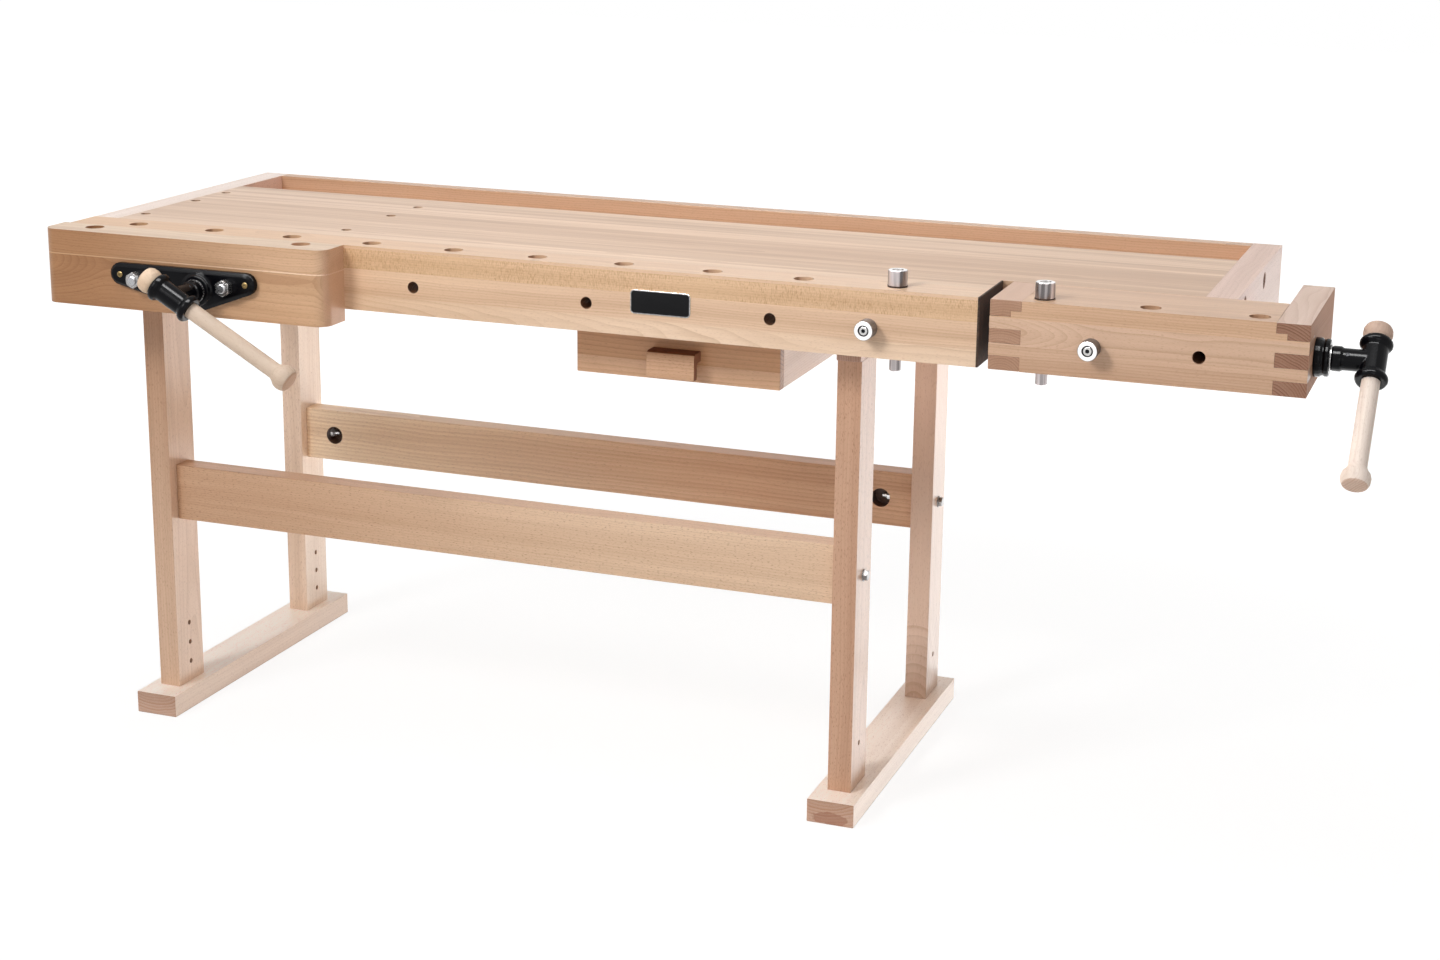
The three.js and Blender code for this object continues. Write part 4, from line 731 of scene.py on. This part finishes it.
for side, face, outward in (("left", 16, -X), ("right", 1944, X)):
    for index, y in enumerate((220, 432)):
        bolt(f"cap_bolt_{side}_{index}", (face, y, 877), outward, 17.0, 8.0, 12.0, "bench")

# Bare name plate: dark field in a thin bright rim
PLATE_X, PLATE_Z = (1040.0, 1141.0), (829.0, 867.4)


def rounded_outline(inset, radius, y, corner_steps=6):
    points = []
    corners = ((PLATE_X[1], PLATE_Z[1], 1, 1), (PLATE_X[0], PLATE_Z[1], -1, 1),
               (PLATE_X[0], PLATE_Z[0], -1, -1), (PLATE_X[1], PLATE_Z[0], 1, -1))
    for quarter, (x, z, sx, sz) in enumerate(corners):
        for step in range(corner_steps + 1):
            turn = math.pi / 2 * (quarter + step / corner_steps)
            points.append(at(x - sx * (inset + radius) + radius * math.cos(turn), y,
                             z - sz * (inset + radius) + radius * math.sin(turn)))
    return points


def plate_piece(name, loops, look):
    bm = bmesh.new()
    rings = [[bm.verts.new(point) for point in loop] for loop in loops]
    for low, high in zip(rings, rings[1:]):
        for i in range(len(low)):
            j = (i + 1) % len(low)
            bm.faces.new((low[i], low[j], high[j], high[i]))
    bm.faces.new(rings[0])
    bm.faces.new(rings[-1])
    return piece(name, bm, look, "bench", "aluminium")


plate_piece("name_plate_rim", [rounded_outline(0.0, 6.5, -0.02), rounded_outline(0.0, 6.5, -1.0),
                               rounded_outline(0.3, 6.2, -1.3), rounded_outline(1.6, 4.9, -1.3),
                               rounded_outline(1.8, 4.7, -1.0)], ZINC)
plate_piece("name_plate_field", [rounded_outline(1.8, 4.7, -0.9), rounded_outline(1.8, 4.7, -1.15),
                                 rounded_outline(2.1, 4.4, -1.25)], PLATE_BLACK)


# Camera at the photograph's place

camera_data = bpy.data.cameras.new("camera")
camera = bpy.data.objects.new("camera", camera_data)
bpy.context.scene.collection.objects.link(camera)
FOCAL_PIXELS = 2337.7226
WIDTH, HEIGHT = 1440, 960
CENTRE = (726.104, 403.099)
camera_data.sensor_fit = "HORIZONTAL"
camera_data.sensor_width = 36.0
camera_data.lens = FOCAL_PIXELS * 36.0 / WIDTH
camera_data.shift_x = (WIDTH / 2 - CENTRE[0]) / WIDTH
camera_data.shift_y = (CENTRE[1] - HEIGHT / 2) / WIDTH
camera_data.clip_end = 60.0
right = Vector((0.936917, 0.349350, 0.011914))
down = Vector((0.095773, -0.223776, -0.969924))
ahead = Vector((-0.336177, 0.909879, -0.243118))
place = Matrix((right, -down, -ahead)).transposed().to_4x4()
place.translation = at(2430.290, -3323.711, 1587.154)
camera.matrix_world = place
bpy.context.scene.camera = camera

# Floor, backdrop and light

def mesh_object(name, verts, faces):
    mesh = bpy.data.meshes.new(name)
    mesh.from_pydata([tuple(v) for v in verts], [], faces)
    mesh.update()
    obj = bpy.data.objects.new(name, mesh)
    bpy.context.scene.collection.objects.link(obj)
    return obj


floor = mesh_object("floor", [(-14, -14, 0), (14, -14, 0), (14, 14, 0), (-14, 14, 0)], [(0, 1, 2, 3)])
floor_look = bpy.data.materials.new("pale_floor")
floor_look.use_nodes = True
floor_look.node_tree.nodes.clear()
ft = Tree(floor_look.node_tree)
seen = ft.node("ShaderNodeLightPath").outputs
direct = ft.math("MAXIMUM", seen["Is Camera Ray"],
                 ft.math("MAXIMUM", seen["Is Glossy Ray"], seen["Is Transmission Ray"]))
matt = ft.node("ShaderNodeBsdfDiffuse", {"Color": (0.2, 0.2, 0.2, 1)})
reach = ft.vector("LENGTH", ft.node("ShaderNodeTexCoord").outputs["Object"])
level = ft.node("ShaderNodeMapRange", {"Value": reach, "From Min": 0.9, "From Max": 3.2, "To Min": 0.86,
                                       "To Max": 1.0}, interpolation_type="SMOOTHSTEP").outputs[0]
glow = ft.node("ShaderNodeEmission", {"Color": (1, 1, 1, 1), "Strength": level})
both = ft.node("ShaderNodeAddShader", {0: matt.outputs[0], 1: glow.outputs[0]})
plain = ft.node("ShaderNodeBsdfDiffuse", {"Color": (0.8, 0.79, 0.78, 1)})
pick = ft.node("ShaderNodeMixShader", {0: direct, 1: plain.outputs[0], 2: both.outputs[0]})
ft.node("ShaderNodeOutputMaterial", {"Surface": pick.outputs[0]})
floor.data.materials.append(floor_look)

world = bpy.data.worlds.new("studio")
bpy.context.scene.world = world
world.use_nodes = True
world.node_tree.nodes.clear()
wt = Tree(world.node_tree)
ray = wt.node("ShaderNodeLightPath").outputs
white = wt.math("MAXIMUM", ray["Is Camera Ray"],
                wt.math("MAXIMUM", ray["Is Glossy Ray"], ray["Is Transmission Ray"]))
dim = wt.node("ShaderNodeBackground", {"Color": (1.0, 0.99, 0.98, 1), "Strength": 0.34})
bright = wt.node("ShaderNodeBackground", {"Color": (1, 1, 1, 1), "Strength": 1.0})
sky = wt.node("ShaderNodeMixShader", {0: white, 1: dim.outputs[0], 2: bright.outputs[0]})
wt.node("ShaderNodeOutputWorld", {"Surface": sky.outputs[0]})


def lamp(name, spot, target, size, power, glint=True, spread=180.0):
    data = bpy.data.lights.new(name, "AREA")
    data.shape = "RECTANGLE"
    data.size, data.size_y = size
    data.energy = power
    data.spread = math.radians(spread)
    obj = bpy.data.objects.new(name, data)
    bpy.context.scene.collection.objects.link(obj)
    obj.location = spot
    obj.rotation_euler = (Vector(target) - Vector(spot)).to_track_quat("-Z", "Y").to_euler()
    obj.visible_glossy = glint
    return obj


lamp("key_light", (-2.2, -3.9, 3.7), (0.55, 0.0, 0.7), (1.4, 1.4), 30.0, spread=80.0)
lamp("near_light", (1.8, -3.6, 1.3), (0.2, 0.0, 0.6), (1.2, 1.2), 13.0)
lamp("top_light", (-0.7, -0.3, 3.6), (-0.5, 0.0, 0.9), (2.2, 1.4), 26.0, glint=False)
lamp("back_light", (-1.2, 4.5, 3.2), (-0.2, 0.0, 0.8), (3.0, 2.0), 22.0, glint=False)
lamp("right_light", (4.0, 3.0, 2.5), (0.3, 0.0, 0.7), (2.0, 2.0), 24.0, glint=False)
lamp("floor_light", (0.2, 2.85, 0.02), (0.2, 2.85, 1.0), (2.8, 4.7), 70.0)
strip = lamp("strip_light", (0.0, -0.9, 2.6), (0.0, -0.3, 0.85), (3.4, 0.3), 180.0)
strip.visible_diffuse = False
sheen = lamp("sheen_light", (0.2, 0.125, 0.002), (0.2, 0.125, 1.0), (2.8, 0.75), 11.2)
sheen.visible_diffuse = False

bpy.context.scene.view_settings.view_transform = "Standard"
